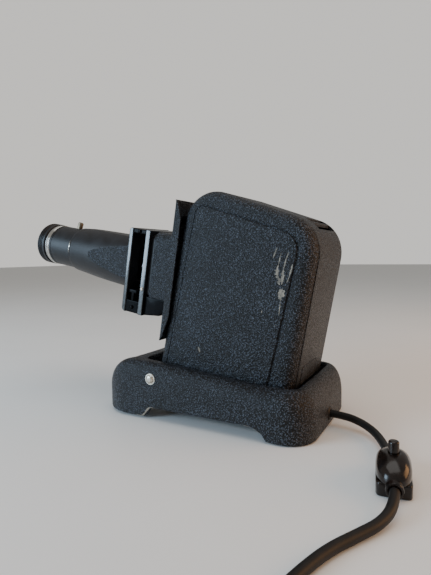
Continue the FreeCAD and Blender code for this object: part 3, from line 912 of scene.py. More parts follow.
class PieceRepeater:
    """A geometry node tree that sets one made piece on many spots."""

    def __init__(self) -> None:
        """Build the tree with its named inputs."""
        self.tree = bpy.data.node_groups.new("set_on_spots", "GeometryNodeTree")
        self.inputs = {}
        for name, kind in (("Spots", "NodeSocketGeometry"), ("Piece", "NodeSocketObject"),
                           ("Size", "NodeSocketFloat"), ("Loose Turn", "NodeSocketFloat"),
                           ("Seed", "NodeSocketInt"), ("Finish", "NodeSocketMaterial")):
            made = self.tree.interface.new_socket(name, in_out="INPUT", socket_type=kind)
            self.inputs[name] = made.identifier
        self.tree.interface.new_socket("Pieces", in_out="OUTPUT",
                                       socket_type="NodeSocketGeometry")
        self._wire()

    def _node(self, kind: str, settings: dict, links: dict) -> bpy.types.Node:
        """Add one node.

        Args:
            kind: the node's type.
            settings: its own settings.
            links: the value or the output that each input takes.

        Returns:
            The node.
        """
        made = self.tree.nodes.new(kind)
        for name, value in settings.items():
            setattr(made, name, value)
        for name, value in links.items():
            if isinstance(value, bpy.types.NodeSocket):
                self.tree.links.new(value, made.inputs[name])
            else:
                made.inputs[name].default_value = value
        return made

    def _wire(self) -> None:
        """Join the nodes."""
        given = self.tree.nodes.new("NodeGroupInput").outputs
        facing = self._node("GeometryNodeInputNamedAttribute",
                            {"data_type": "FLOAT_VECTOR"}, {"Name": "facing"})
        upright = self._node("FunctionNodeAlignRotationToVector", {"axis": "Z"},
                             {"Vector": facing.outputs["Attribute"]})
        chance = self._node("FunctionNodeRandomValue", {"data_type": "FLOAT"},
                            {"Seed": given["Seed"]})
        self.tree.links.new(given["Loose Turn"], chance.inputs[3])
        turn = self._node("FunctionNodeAxisAngleToRotation", {},
                          {"Axis": (0, 0, 1), "Angle": chance.outputs[1]})
        rotation = self._node("FunctionNodeRotateRotation", {"rotation_space": "LOCAL"},
                              {"Rotation": upright.outputs[0], "Rotate By": turn.outputs[0]})
        piece = self._node("GeometryNodeObjectInfo", {"transform_space": "ORIGINAL"},
                           {"Object": given["Piece"]})
        spots = self._node("GeometryNodeInstanceOnPoints", {}, {
            "Points": given["Spots"], "Instance": piece.outputs["Geometry"],
            "Rotation": rotation.outputs[0], "Scale": given["Size"]})
        real = self._node("GeometryNodeRealizeInstances", {},
                          {"Geometry": spots.outputs[0]})
        dressed = self._node("GeometryNodeSetMaterial", {}, {
            "Geometry": real.outputs[0], "Material": given["Finish"]})
        out = self.tree.nodes.new("NodeGroupOutput")
        self.tree.links.new(dressed.outputs[0], out.inputs[0])

    def make(self, name: str, pattern: Solid, spots: Sequence[tuple], placed: Matrix,
             finish: bpy.types.Material, loose_turn: float = 0.0,
             seed: int = 7) -> bpy.types.Object:
        """Set copies of a pattern on spots.

        Args:
            name: the new piece's name.
            pattern: the piece to repeat, which stands along +Z at its origin.
            spots: (place, facing) pairs in millimetres, in the frame placed.
            placed: that frame, in metres.
            finish: its material.
            loose_turn: the most that a copy is turned about its own axis, in radians.
            seed: the random turns' seed.

        Returns:
            One mesh of all the copies.
        """
        model = pattern.make(name + "_pattern", LEVEL)
        mesh = bpy.data.meshes.new(name)
        mesh.from_pydata([placed @ (Vector(place) * MM) for place, facing in spots], [], [])
        facings = mesh.attributes.new("facing", "FLOAT_VECTOR", "POINT")
        for value, (place, facing) in zip(facings.data, spots):
            value.vector = placed.to_3x3() @ Vector(facing)
        piece = bpy.data.objects.new(name, mesh)
        bpy.context.scene.collection.objects.link(piece)
        repeat = piece.modifiers.new("repeat", "NODES")
        repeat.node_group = self.tree
        for key, value in (("Piece", model), ("Size", 1.0), ("Loose Turn", loose_turn),
                           ("Seed", seed), ("Finish", finish)):
            repeat[self.inputs[key]] = value
        bake_modifiers(piece)
        bpy.data.objects.remove(model)
        return piece


REPEAT = PieceRepeater()


@dataclass
class Piece:
    """A finished object with what the frame has to know about it."""

    item: bpy.types.Object
    body: Body
    slot: Slot
    nodes: tuple = ()

    def install(self) -> None:
        """Let it ride on its body in place of its CAD nodes."""
        if not self.item.data.materials:
            self.item.data.materials.append(PAINT.material(self.slot))
        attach(self.item, self.body.value)
        if self.nodes:
            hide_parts(*self.nodes)
        log.info("%s rides on %s", self.item.name, self.body.value)


def keep_softened(node: str, body: Body, slot: Slot, width: float) -> Piece:
    """Give a CAD node's rounded copy as a piece in its place."""
    return Piece(softened(node, width), body, slot, (node,))


# ------------------------ the base
@dataclass
class BaseCasting:
    """The hollow die-cast base with its feet, pivot screws and lead bush."""

    half: float = 65.0
    front: float = -40.3
    rear: float = 173.0
    middle: float = 66.2
    front_corner: float = 36.0
    rear_corner: float = 25.0
    well_half: float = 50.0
    well_front: float = 8.2
    well_rear: float = 158.7
    well_corner: float = 8.0
    wall: float = 5.0
    lip: float = 14.0
    low: float = 2.7
    low_rear: float = 0.5
    arch: float = 11.4
    foot: float = 11.0
    shoulder: float = 13.0
    nose_reach: float = 46.0
    nose_drop: float = 43.0
    tail_drop: float = 25.0

    def crown(self, along: float) -> float:
        """Give the top's height at a place along the base.

        Args:
            along: the place along the base.

        Returns:
            The height.
        """
        stops = [(-60, 53.0), (-46, 52.6), (60, 42.9), (84, 42.4), (105, 42.2)]
        shifts = (-6, 0, 6)
        return sum(along_line(along - self.middle + shift, stops)
                   for shift in shifts) / len(shifts)

    def skirt(self, along: float, beside: bool) -> float:
        """Give the bottom edge's height, raised in the finger arches of the sides.

        Args:
            along: the place along the base.
            beside: whether it is on a side.

        Returns:
            The height.
        """
        low = along_line(along, [(self.front, self.low), (self.rear, self.low_rear)])
        if not beside:
            return low
        place = along - self.middle
        rise = self.arch - low
        if place < 0:
            return low + rise * ease(place, -53, -42)
        if place <= 52:
            return self.arch
        if place >= 71:
            return low
        return low + rise * math.sqrt(1 - ((place - 52) / 19) ** 2)

    def section(self, outer: EdgePoint, inner: Vector) -> list[tuple]:
        """Draw one section of the casting, from its foot over the top and back.

        Args:
            outer: the plan's outer point.
            inner: the well's point that it faces.

        Returns:
            The closed section's points.
        """
        across = inner - outer.place
        length = across.length
        across.normalize()
        facing = outer.outward
        nose, tail = max(-facing.y, 0) ** 2, max(facing.y, 0) ** 2
        sides = 1 - nose - tail
        inward = min(self.shoulder * sides + self.nose_reach * nose + self.shoulder * tail,
                     length - 1.6)
        drop = self.shoulder * sides + self.nose_drop * nose + self.tail_drop * tail
        beside = abs(facing.x) > 0.99
        foot = self.skirt(outer.place.y, beside)

        def at(depth: float, height: float) -> tuple:
            """Give the point at a depth inside the outline and at a height."""
            place = outer.place + across * depth
            return (place.x, place.y, height)

        def top(depth: float) -> float:
            """Give the height of the rounded shoulder at a depth."""
            crown = self.crown((outer.place + across * depth).y)
            rest = max(1 - depth / inward, 0)
            return crown - drop * (1 - math.sqrt(1 - rest * rest))

        points = [at(0, foot + 1.4), at(0, foot + 3.5)]
        shoulder = top(0)
        points += [at(0, foot + 3.5 + (shoulder - foot - 3.5) * share)
                   for share in (0.35, 0.7, 1.0)]
        for step in range(1, 13):
            depth = inward * (1 - math.cos(math.pi / 2 * step / 12))
            points.append(at(depth, top(depth)))
        rim = self.crown(inner.y)
        if length - inward > 4:
            points.append(at((inward + length) / 2, top((inward + length) / 2)))
        else:
            points.append(at(inward + (length - inward) * 0.2, top(inward)))
        points += [at(length - 1.1, rim), at(length - 0.4, rim - 0.25), at(length, rim - 1.1),
                   at(length, rim - self.lip), at(length - 3.2, rim - self.lip)]
        inside = length - 3.6
        for step in range(7):
            depth = inside + (self.wall - inside) * step / 6
            shrunk = max(depth - self.wall, 0)
            points.append(at(depth, min(top(shrunk), top(depth)) - self.wall))
        points += [at(self.wall, foot + 1), at(self.wall - 0.8, foot), at(1.4, foot),
                   at(0.4, foot + 0.4)]
        return points

    def wear(self, point: Vector) -> float:
        """Say how worn the enamel is at a point, in millimetres, from 0 to 1.

        Args:
            point: the point.

        Returns:
            The wear.
        """
        place = point.y - self.middle
        outside = ease(abs(point.x), 61.5, 64.5) if -90 < place < 100 else 0.6
        height = point.z - self.skirt(point.y, abs(point.x) > 60 and -80 < place < 90)
        edge = ease(height, 1.7, 0.5) * outside
        ramps = max(ease(abs(place + 47), 16, 5), ease(abs(place - 64), 22, 8))
        worn = edge * (0.3 + 0.22 * ramps)
        for spot, reach in (((65, self.middle - 74.8, 33.3), 3.4),
                            ((60, self.middle + 98, 40), 3.0),
                            ((65, self.middle + 84, 27), 2.2)):
            worn = max(worn, 0.62 * ease((point - Vector(spot)).length, reach, reach * 0.2))
        return worn

    def casting(self) -> bpy.types.Object:
        """Make the casting."""
        outer = rounded_outline([
            (-self.half, self.front, self.front_corner),
            (self.half, self.front, self.front_corner),
            (self.half, self.rear, self.rear_corner),
            (-self.half, self.rear, self.rear_corner)], 14, [10, 96, 14, 96])
        inner = rounded_outline([
            (-self.well_half, self.well_front, self.well_corner),
            (self.well_half, self.well_front, self.well_corner),
            (self.well_half, self.well_rear, self.well_corner),
            (-self.well_half, self.well_rear, self.well_corner)], 14, [10, 96, 14, 96])
        body = Solid()
        body.loft([self.section(point, facing.place)
                   for point, facing in zip(outer, inner)], loop=True)
        for across, along in self.foot_spots():
            body.turned([(3.9, 0.0), (3.9, self.foot + 2.4), (4.4, self.foot + 2.9),
                         (9.5, self.foot + 3.2), (10.5, self.foot + 2.6), (10.5, 0.0)],
                        48, "Z", (across, along, 0))
        piece = body.make("base_casting_dressed", LEVEL)
        piece.data.materials.append(PAINT.material(Slot.CRINKLE))
        worn = piece.data.attributes.new("wear", "FLOAT", "POINT")
        for value, vertex in zip(worn.data, piece.data.vertices):
            value.value = self.wear(vertex.co / MM)
        return piece

    def foot_spots(self) -> list[tuple[float, float]]:
        """Give the feet's places in plan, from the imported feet."""
        low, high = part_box("rubber_feet")
        xs = (low.x / MM + self.foot, high.x / MM - self.foot)
        ys = (low.y / MM + self.foot, high.y / MM - self.foot)
        return [(x, y) for x in xs for y in ys]

    def feet(self) -> Piece:
        """Make the four rubber feet, each a dished disc."""
        disc = Solid()
        disc.turned([(0.0, 4.2), (0.0, 9.6), (0.35, 10.6), (1.0, 11.0), (2.6, 10.95),
                     (3.2, 10.8), (4.0, 10.6), (4.0, 1.6), (2.1, 1.6), (2.0, 3.6),
                     (1.6, 4.0)], 48, "Z", loop=True)
        spots = [((x, y, 0), (0, 0, 1)) for x, y in self.foot_spots()]
        made = REPEAT.make("rubber_feet_dressed", disc, spots, LEVEL,
                           PAINT.material(Slot.FOOT))
        return Piece(made, Body.BASE, Slot.FOOT, ("rubber_feet",))

    def pivot_screws(self) -> Piece:
        """Make the two domed pivot screws, with their shanks."""
        screw = Solid()
        screw.turned([(-15, 0.0), (-15, 2.5), (-14.4, 3.0), (-0.6, 3.0), (-0.6, 5.1),
                      (0.35, 5.2), (0.6, 5.0), (0.62, 4.3), (0.35, 4.15), (0.35, 4.0),
                      (0.9, 3.95), (1.5, 3.6), (2.0, 2.9), (2.35, 1.8), (2.48, 0.8),
                      (2.5, 0.0)], 64, "Z")
        along, up = TILT["pos_m"][1] / MM, TILT["pos_m"][2] / MM
        spots = [((self.half, along, up), (1, 0, 0)), ((-self.half, along, up), (-1, 0, 0))]
        made = REPEAT.make("pivot_screws_dressed", screw, spots, LEVEL,
                           PAINT.material(Slot.NICKEL))
        return Piece(made, Body.BASE, Slot.NICKEL, ("pivot_screws",))

    def bush(self) -> Piece:
        """Make the rubber bush that the lead leaves through."""
        low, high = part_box("cord_grommet")
        across, up = (low.x + high.x) / 2 / MM, (low.z + high.z) / 2 / MM
        face = high.y / MM
        bush = Solid()
        bush.turned([(-12, 3.35), (-12, 4.8), (-3.1, 4.9), (-3.0, 6.4), (-2.7, 6.8),
                     (-2.2, 6.8), (-1.2, 6.3), (-0.3, 5.3), (0.0, 4.6), (0.0, 3.9),
                     (-0.4, 3.4)], 56, "Y", (across, face, up), True)
        made = bush.make("lead_bush", LEVEL)
        return Piece(made, Body.BASE, Slot.CORD, ("cord_grommet",))

    def build(self) -> list[Piece]:
        """Make every piece of the base."""
        return [Piece(self.casting(), Body.BASE, Slot.CRINKLE, ("base_casting",)),
                self.feet(), self.pivot_screws(), self.bush()]


# ------------------------ the lamphouse
@dataclass
class Lamphouse:
    """The folded lamphouse: shell, side cover with its raised panel, and bolts."""

    half: float = 46.0
    seam: float = 36.0
    gap: float = 0.35
    wall: float = 2.5
    sharp: float = 0.2
    panel_rise: float = 1.0
    corners: tuple = ((-6.8, -3.5, 5.0), (125.6, -3.5, 6.0), (127.5, 157.8, 33.0),
                      (2.6, 180.4, 31.0))
    panel: tuple = ((4.0, 9.2, 3.0), (103.5, 9.2, 3.0), (111.9, 146.0, 15.0),
                    (14.8, 161.5, 8.0))
    bolts: tuple = ((16, 14), (112, 16), (98, 140))

    def outline(self) -> list[EdgePoint]:
        """Give the lamphouse's side outline."""
        return rounded_outline(self.corners, 14, [14, 24, 16, 24])

    def roundness(self, point: EdgePoint) -> float:
        """Give the radius with which the outline turns into the side faces.

        Args:
            point: a point of the outline.

        Returns:
            The radius.
        """
        facing = point.outward
        front = max(-facing.x, 0) ** 2
        rear = max(facing.x, 0) ** 2 * ease(point.place.y, 2, 24)
        top = max(facing.y, 0) ** 2
        return 2 + 6.5 * front + 10 * rear + 5 * top

    def side_rings(self, face: float, inward: int, inset: float,
                   rounding: Callable[[EdgePoint], float]) -> list[list[tuple]]:
        """Draw the rings that turn a flat side face into the outline.

        Args:
            face: the side face's place across.
            inward: 1 if the solid lies towards +X of the face, and -1 if not.
            inset: how far the outline is drawn in.
            rounding: each point's radius.

        Returns:
            The rings, from the flat face to the full outline.
        """
        outline = self.outline()
        steps = 7
        rings = [[(face, *point.moved(-inset - rounding(point) - 0.5)) for point in outline]]
        for step in range(steps + 1):
            angle = math.pi / 2 * step / steps
            ring = []
            for point in outline:
                radius = rounding(point)
                across = face + inward * radius * (1 - math.cos(angle))
                ring.append((across, *point.moved(-inset - radius * (1 - math.sin(angle)))))
            rings.append(ring)
        return rings

    def hollow(self, name: str, low: float, high: float) -> bpy.types.Object:
        """Make the tool that hollows the shells, rounded where they are.

        Args:
            name: the tool's name.
            low: where it starts, across.
            high: where it ends.

        Returns:
            The tool.
        """

        def rounding(point: EdgePoint) -> float:
            """Give the closed end's radius, a wall less than the outside's."""
            return max(self.roundness(point) - self.wall, 0.4)

        def square(point: EdgePoint) -> float:
            """Give the open end's all but sharp radius, the same everywhere."""
            return self.sharp

        starts = self.side_rings(low, 1, self.wall, rounding if low < 0 else square)
        ends = self.side_rings(high, -1, self.wall, square if low < 0 else rounding)
        tool = Solid()
        tool.loft(starts + ends[::-1])
        return tool.make(name, HOUSE)

    def block(self, name: str, low: Sequence[float],
              high: Sequence[float]) -> bpy.types.Object:
        """Make a plain cutting block in the lamphouse's frame.

        Args:
            name: the block's name.
            low: its low corner.
            high: its high corner.

        Returns:
            The block.
        """
        tool = Solid()
        tool.box(low, high)
        return tool.make(name, HOUSE)

    def shell(self) -> Piece:
        """Make the main shell with its vents and its light port."""
        body = Solid()
        left = self.side_rings(-self.half, 1, 0, self.roundness)
        right = self.side_rings(self.seam - self.gap, -1, 0, lambda point: 0.9)
        body.loft(left + right[::-1])
        made = body.make("lamphouse_shell_dressed", HOUSE)
        port = Solid()
        port.turned([(-20, 27), (10, 27)], 72, "Y", (0, 0, AXIS_UP))
        slots = [self.block("vent", (-36, along, 138), (16, along + 6.5, 200))
                 for along in (102, 110)]
        carve(made, self.hollow("room", self.wall - self.half, self.seam + 6),
              port.make("port", HOUSE), *slots)
        return Piece(made, Body.LAMPHOUSE, Slot.CRINKLE, ("lamphouse_shell",))

    def cover(self) -> Piece:
        """Make the side cover with its raised panel in a fine groove."""
        body = Solid()
        inner = self.side_rings(self.seam + self.gap, 1, 0, lambda point: 0.9)
        outer = self.side_rings(self.half, -1, 0, self.roundness)
        numbered = [body.ring(ring) for ring in inner + outer[::-1]]
        for first, second in zip(numbered, numbered[1:]):
            body.band(first, second)
        body.face(reversed(numbered[0]))
        steps = [(1.5, 0.0), (1.15, -0.4), (0.6, -0.5), (0.15, -0.3), (0.0, 0.15),
                 (-0.05, 0.5), (-0.25, 0.8), (-0.6, 0.96), (-1.1, self.panel_rise)]
        edge = rounded_outline(self.panel, 14, 10)
        rings = [body.ring([(self.half + rise, *point.moved(outward)) for point in edge])
                 for outward, rise in steps]
        for first, second in zip(rings, rings[1:]):
            body.band(first, second)
        body.face(rings[-1])
        body.frill(numbered[-1], rings[0])
        made = body.make("lamphouse_cover_dressed", HOUSE)
        carve(made, self.hollow("tray", self.seam - 6, self.half - self.wall))
        return Piece(made, Body.LAMPHOUSE, Slot.CRINKLE, ("lamphouse_cover",))

    def scrapes(self) -> Piece:
        """Make the scraped patches where the panel's enamel is gone."""
        level = self.half + self.panel_rise + 0.02
        strokes = [((94.3, 135.0), (92.4, 126.4), 1.3), ((98.5, 131.7), (97.8, 122.3), 0.9),
                   ((104.7, 133.2), (103.4, 127.8), 0.9), ((103.4, 127.8), (102.6, 118.6), 1.3),
                   ((97.8, 122.3), (96.7, 115.3), 1.2), ((97.2, 119.7), (98.2, 111.0), 3.0),
                   ((99.2, 112.3), (101.2, 106.0), 3.0), ((102.6, 118.6), (103.1, 106.7), 2.7),
                   ((109.4, 124.3), (108.2, 114.0), 1.3), ((108.2, 114.0), (107.0, 108.6), 0.8),
                   ((102.6, 103.0), (103.0, 94.6), 3.0), ((104.2, 103.4), (104.4, 94.0), 3.2),
                   ((105.9, 102.6), (105.9, 97.0), 2.2), ((104.3, 94.9), (104.9, 81.0), 0.7),
                   ((89.8, 82.3), (89.9, 80.0), 0.8), ((102.5, 72.8), (103.4, 71.9), 0.8),
                   ((35.1, 36.7), (37.6, 32.1), 1.6)]
        body = Solid()
        for number, (start, end, width) in enumerate(strokes):
            self._scrape(body, Vector(start), Vector(end), width, level + number * 0.004,
                         number)
        made = body.make("panel_scrapes", HOUSE)
        made.data.materials.append(PAINT.bare_patches())
        return Piece(made, Body.LAMPHOUSE, Slot.CRINKLE)

    def _scrape(self, body: Solid, start: Vector, end: Vector, width: float,
                level: float, number: int) -> None:
        """Add one ragged stroke of thin scale, its edges torn by the enamel's folds.

        Args:
            body: what it is added to.
            start: its first end, in the side face's plane.
            end: its other end.
            width: its greatest width.
            level: its height across.
            number: which stroke it is, so that each tears in its own way.
        """
        steps = max(int((end - start).length / 0.45), 5)
        run = (end - start).normalized()
        across = Vector((-run.y, run.x))
        sides: list[list] = [[], []]
        for step in range(steps + 1):
            share = step / steps
            swell = math.sin(math.pi * min(max(share, 0.04), 0.96)) ** 0.6
            centre = start.lerp(end, share)
            for side, sign in enumerate((-1, 1)):
                tear = noise.noise(Vector((step * 0.83, side * 9.1, number * 3.7)))
                reach = width / 2 * swell * max(0.9 + 1.5 * tear, 0.12)
                sides[side].append(centre + across * sign * reach)
        low = [(level - 0.25, *place) for place in sides[0] + sides[1][::-1]]
        high = [(level, *place) for place in sides[0] + sides[1][::-1]]
        first, second = body.ring(low), body.ring(high)
        body.band(first, second)
        count = len(sides[0])
        for numbers in (first, second):
            for step in range(count - 1):
                opposite = 2 * count - 1 - step
                body.face((numbers[step], numbers[step + 1], numbers[opposite - 1],
                           numbers[opposite]))

    def plate(self) -> Piece:
        """Make the blank raised plate on the rear face."""
        body = Solid()
        lean = math.atan2(self.corners[2][0] - self.corners[1][0],
                          self.corners[2][1] - self.corners[1][1])
        middle = 31.0
        face = self.corners[1][0] + math.tan(lean) * middle
        edge = rounded_outline([(-14, middle - 8, 2.6), (28, middle - 8, 2.6),
                                (28, middle + 8, 2.6), (-14, middle + 8, 2.6)], 6, 4)
        steps = [(0.0, -0.6), (0.0, 0.35), (-0.2, 0.6), (-0.6, 0.7), (-1.4, 0.7),
                 (-1.8, 0.5), (-2.3, 0.4)]
        rings = []
        for inward, rise in steps:
            ring = []
            for point in edge:
                place = point.moved(inward)
                ring.append((-place.x + 14, face + rise + (place.y - middle) * math.tan(lean),
                             place.y))
            rings.append(ring)
        body.loft(rings)
        made = body.make("rear_blank_plate", HOUSE)
        return Piece(made, Body.LAMPHOUSE, Slot.CRINKLE)

    def tie_bolts(self) -> Piece:
        """Make the bolts that hold the cover, with their slotted cheese heads."""
        bolt = Solid()
        bolt.turned([(-88, 0.0), (-88, 1.7), (-87.5, 2.0), (0.0, 2.0), (0.0, 4.0),
                     (1.3, 4.0), (1.8, 3.7), (2.0, 3.1), (2.0, 0.0)], 48, "Z")
        spots = [((-self.half, along, up), (-1, 0, 0)) for along, up in self.bolts]
        made = REPEAT.make("tie_bolts_dressed", bolt, spots, HOUSE,
                           PAINT.material(Slot.STEEL))
        return Piece(made, Body.LAMPHOUSE, Slot.STEEL, ("tie_bolts",))

    def build(self) -> list[Piece]:
        """Make every piece of the lamphouse."""
        return [self.shell(), self.cover(), self.scrapes(), self.plate(), self.tie_bolts()]


@dataclass
class HeatShield:
    """The upright plate in front of the lamphouse, with its two folded lips."""

    half: float = 50.0
    face: float = -6.6
    thick: float = 1.4
    low: float = 32.6
    high: float = 163.0
    lip: float = 8.0
    top_taper: float = 17.0
    low_taper: float = 24.0
    bend: float = 2.2

    def depth(self, height: float) -> float:
        """Give the lips' depth at a height."""
        rising = min((height - self.low) / self.low_taper, (self.high - height) / self.top_taper)
        return self.thick + (self.lip - self.thick) * min(max(rising, 0.0), 1.0) ** 0.85

    def outline(self, height: float) -> list[tuple[float, float]]:
        """Draw the plate's section at a height, round its front and back.

        Args:
            height: the height.

        Returns:
            The section's points.
        """
        depth = self.depth(height)
        bend = min(self.bend, depth - 0.2)
        inner = max(bend - self.thick, 0.15)
        edge, back = self.half, self.face + self.thick
        side = []
        for step in range(7):
            angle = math.pi / 2 * step / 6
            side.append((edge - bend + bend * math.sin(angle),
                         self.face + bend - bend * math.cos(angle)))
        side += [(edge, self.face + depth - 0.3), (edge - 0.3, self.face + depth),
                 (edge - self.thick + 0.3, self.face + depth),
                 (edge - self.thick, self.face + max(depth - 0.3, self.thick))]
        for step in range(5):
            angle = math.pi / 2 * step / 4
            side.append((edge - self.thick - inner + inner * math.cos(angle),
                         min(back + inner - inner * math.sin(angle), self.face + depth)))
        return side + [(-across, along) for across, along in reversed(side)]

    def build(self) -> list[Piece]:
        """Make the shield with its round light port."""
        levels = [self.low, self.low + 0.5]
        steps = 44
        levels += [self.low + 1.5 + (self.high - self.low - 3) * step / steps
                   for step in range(steps + 1)]
        levels += [self.high - 0.5, self.high]
        body = Solid()
        body.loft([[(across, along, level) for across, along in self.outline(level)]
                   for level in levels])
        made = body.make("heat_shield_dressed", HOUSE)
        port = Solid()
        port.turned([(-20, 27), (10, 27)], 72, "Y", (0, 0, AXIS_UP))
        carve(made, port.make("port", HOUSE))
        return [Piece(made, Body.LAMPHOUSE, Slot.CRINKLE, ("front_plate",))]


# ------------------------ neck and gate
@dataclass
class SlideGate:
    """The condenser neck and the glossy gate that the slide is pushed through."""

    neck_half: float = 30.0
    neck_low: float = 65.0
    neck_high: float = 130.5
    neck_front: float = -38.6
    neck_rear: float = -6.6
    recess_front: float = -44.0
    gate_half: float = 31.0
    gate_low: float = 45.0
    gate_high: float = 131.0
    floor_top: float = 58.0
    plates: tuple = ((-70.0, -65.4), (-49.5, -44.0))
    window: float = 17.0

    def rounded_bar(self, corners: Sequence[tuple], low: float, high: float,
                    edge: float, name: str, axis: str = "X") -> bpy.types.Object:
        """Make a bar of a rounded section with soft end edges.

        Args:
            corners: the section's corners as (along, up, radius), or (across, up, radius).
            low: where the bar starts.
            high: where it ends.
            edge: its end edges' radius.
            name: the piece's name.
            axis: X or Y, the way that the bar runs.

        Returns:
            The object.
        """
        stations = []
        for step in range(5):
            angle = math.pi / 2 * step / 4
            stations.append((low + edge * (1 - math.cos(angle)),
                             edge * (1 - math.sin(angle))))
        stations += [(low + high - place, inset) for place, inset in reversed(stations)]
        rings = []
        for place, inset in stations:
            outline = rounded_outline(inset_corners(corners, inset), 6, 4)
            moved = [point.place for point in outline]
            if axis == "X":
                rings.append([(place, spot.x, spot.y) for spot in moved])
            else:
                rings.append([(spot.x, place, spot.y) for spot in moved])
        body = Solid()
        body.loft(rings)
        return body.make(name, HOUSE)

    def cut_window(self, piece: bpy.types.Object) -> bpy.types.Object:
        """Cut the picture window through a plate.

        Args:
            piece: the plate.

        Returns:
            The same plate.
        """
        tool = Solid()
        tool.box((-self.window, -90, AXIS_UP - self.window),
                 (self.window, -30, AXIS_UP + self.window))
        return carve(piece, tool.make("window", HOUSE))

    def neck(self) -> Piece:
        """Make the neck with its rounded top and its stepped front."""
        half = self.neck_half
        main = self.rounded_bar(
            [(-half, self.neck_low, 1.5), (half, self.neck_low, 1.5),
             (half, self.neck_high, 7.5), (-half, self.neck_high, 7.5)],
            self.neck_front, self.neck_rear + 0.2, 1.0, "condenser_neck_dressed", "Y")
        port = Solid()
        port.turned([(-60, 26), (10, 26)], 72, "Y", (0, 0, AXIS_UP))
        carve(main, port.make("port", HOUSE))
        return Piece(main, Body.LAMPHOUSE, Slot.CRINKLE, ("condenser_neck",))

    def recess(self) -> Piece:
        """Make the narrower dark collar between neck and gate."""
        half = self.neck_half - 3
        collar = self.rounded_bar(
            [(-half, self.neck_low + 1.5, 2), (half, self.neck_low + 1.5, 2),
             (half, self.neck_high - 3, 6), (-half, self.neck_high - 3, 6)],
            self.recess_front, self.neck_front + 3, 0.4, "neck_collar", "Y")
        port = Solid()
        port.turned([(-60, 26), (10, 26)], 72, "Y", (0, 0, AXIS_UP))
        carve(collar, port.make("port", HOUSE))
        return Piece(collar, Body.LAMPHOUSE, Slot.BARREL)

    def gate(self) -> list[Piece]:
        """Make the gate's two plates, its top band and its floor block."""
        made = []
        nodes = ("gate_front_plate", "gate_rear_plate")
        for node, (near, far) in zip(nodes, self.plates):
            low_front, high_front = (4.2, 3.0) if node == nodes[0] else (1.2, 1.0)
            plate = self.rounded_bar(
                [(near, self.gate_low, low_front), (far, self.gate_low, 0.3),
                 (far, self.gate_high, 0.8), (near, self.gate_high, high_front)],
                -self.gate_half, self.gate_half, 0.7, node + "_dressed")
            made.append(Piece(self.cut_window(plate), Body.LAMPHOUSE, Slot.GLOSS, (node,)))
        between = (self.plates[0][1] - 0.3, self.plates[1][0] + 0.3)
        for node, low, high in (("gate_top_band", 126.0, self.gate_high - 0.4),
                                ("gate_floor_block", self.gate_low + 0.3, self.floor_top)):
            block = self.rounded_bar(
                [(between[0], low, 0.8), (between[1], low, 0.8),
                 (between[1], high, 0.8), (between[0], high, 0.8)],
                0.8 - self.gate_half, self.gate_half - 0.8, 1.0, node + "_dressed")
            # Painted shade: the top band and the floor block lie between the plates and take the darker painted
            # shade enamel.
            block.data.materials.append(PAINT.painted_shade_gloss())
            made.append(Piece(block, Body.LAMPHOUSE, Slot.GLOSS, (node,)))
        return made

    def fasteners(self) -> list[Piece]:
        """Make the gate's side screws and the bright rivet of its pressure spring."""
        screw = Solid()
        screw.turned([(-5.0, 0.0), (-5.0, 1.6), (-0.7, 1.6), (-0.7, 2.0), (0.1, 2.0),
                      (0.45, 1.75), (0.7, 1.2), (0.8, 0.0)], 32, "Z")
        edge = self.gate_half
        spots = [((side * edge, -57.5, up), (side, 0, 0))
                 for side in (1, -1) for up in (128.5, 51)]
        # Painted shade: the side screws take the darker painted shade enamel.
        screws = REPEAT.make("gate_screws_dressed", screw, spots, HOUSE,
                             PAINT.painted_shade_gloss())
        ball = Solid()
        ball.turned([(-4.0, 0.0), (-4.0, 1.6), (0.0, 1.7), (0.0, 1.9), (0.3, 1.85),
                     (0.8, 1.5), (1.1, 0.9), (1.2, 0.0)], 40, "Z")
        rivet = REPEAT.make("gate_rivet_dressed", ball, [((edge, -46.8, 72), (1, 0, 0))],
                            HOUSE, PAINT.material(Slot.NICKEL))
        return [Piece(screws, Body.LAMPHOUSE, Slot.GLOSS, ("gate_screws",)),
                Piece(rivet, Body.LAMPHOUSE, Slot.NICKEL, ("gate_rivet",))]

    def bracket(self) -> Piece:
        """Make the glossy bracket under the neck that carries the gate."""
        made = self.rounded_bar(
            [(-44.0, 45.3, 1.0), (-24.5, 48.6, 3.0), (-20.0, 53.0, 2.6),
             (-20.0, 65.2, 0.5), (-44.0, 65.2, 0.5)],
            -28, 28, 1.0, "neck_bracket_dressed")
        # Painted shade: the bracket lies in shade under the neck and takes the darker painted shade enamel.
        made.data.materials.append(PAINT.painted_shade_gloss())
        return Piece(made, Body.LAMPHOUSE, Slot.GLOSS, ("neck_bracket",))

    def build(self) -> list[Piece]:
        """Make every piece of the neck and gate."""
        ledge = keep_softened("slide_ledge", Body.LAMPHOUSE, Slot.BARREL, 0.3)
        # Painted shade: the slide ledge inside the gate takes the darker painted shade enamel.
        ledge.item.data.materials.append(PAINT.painted_shade_gloss())
        return [self.neck(), self.recess(), *self.gate(), *self.fasteners(), self.bracket(),
                ledge,
                keep_softened("pressure_springs", Body.LAMPHOUSE, Slot.STEEL, 0.15)]


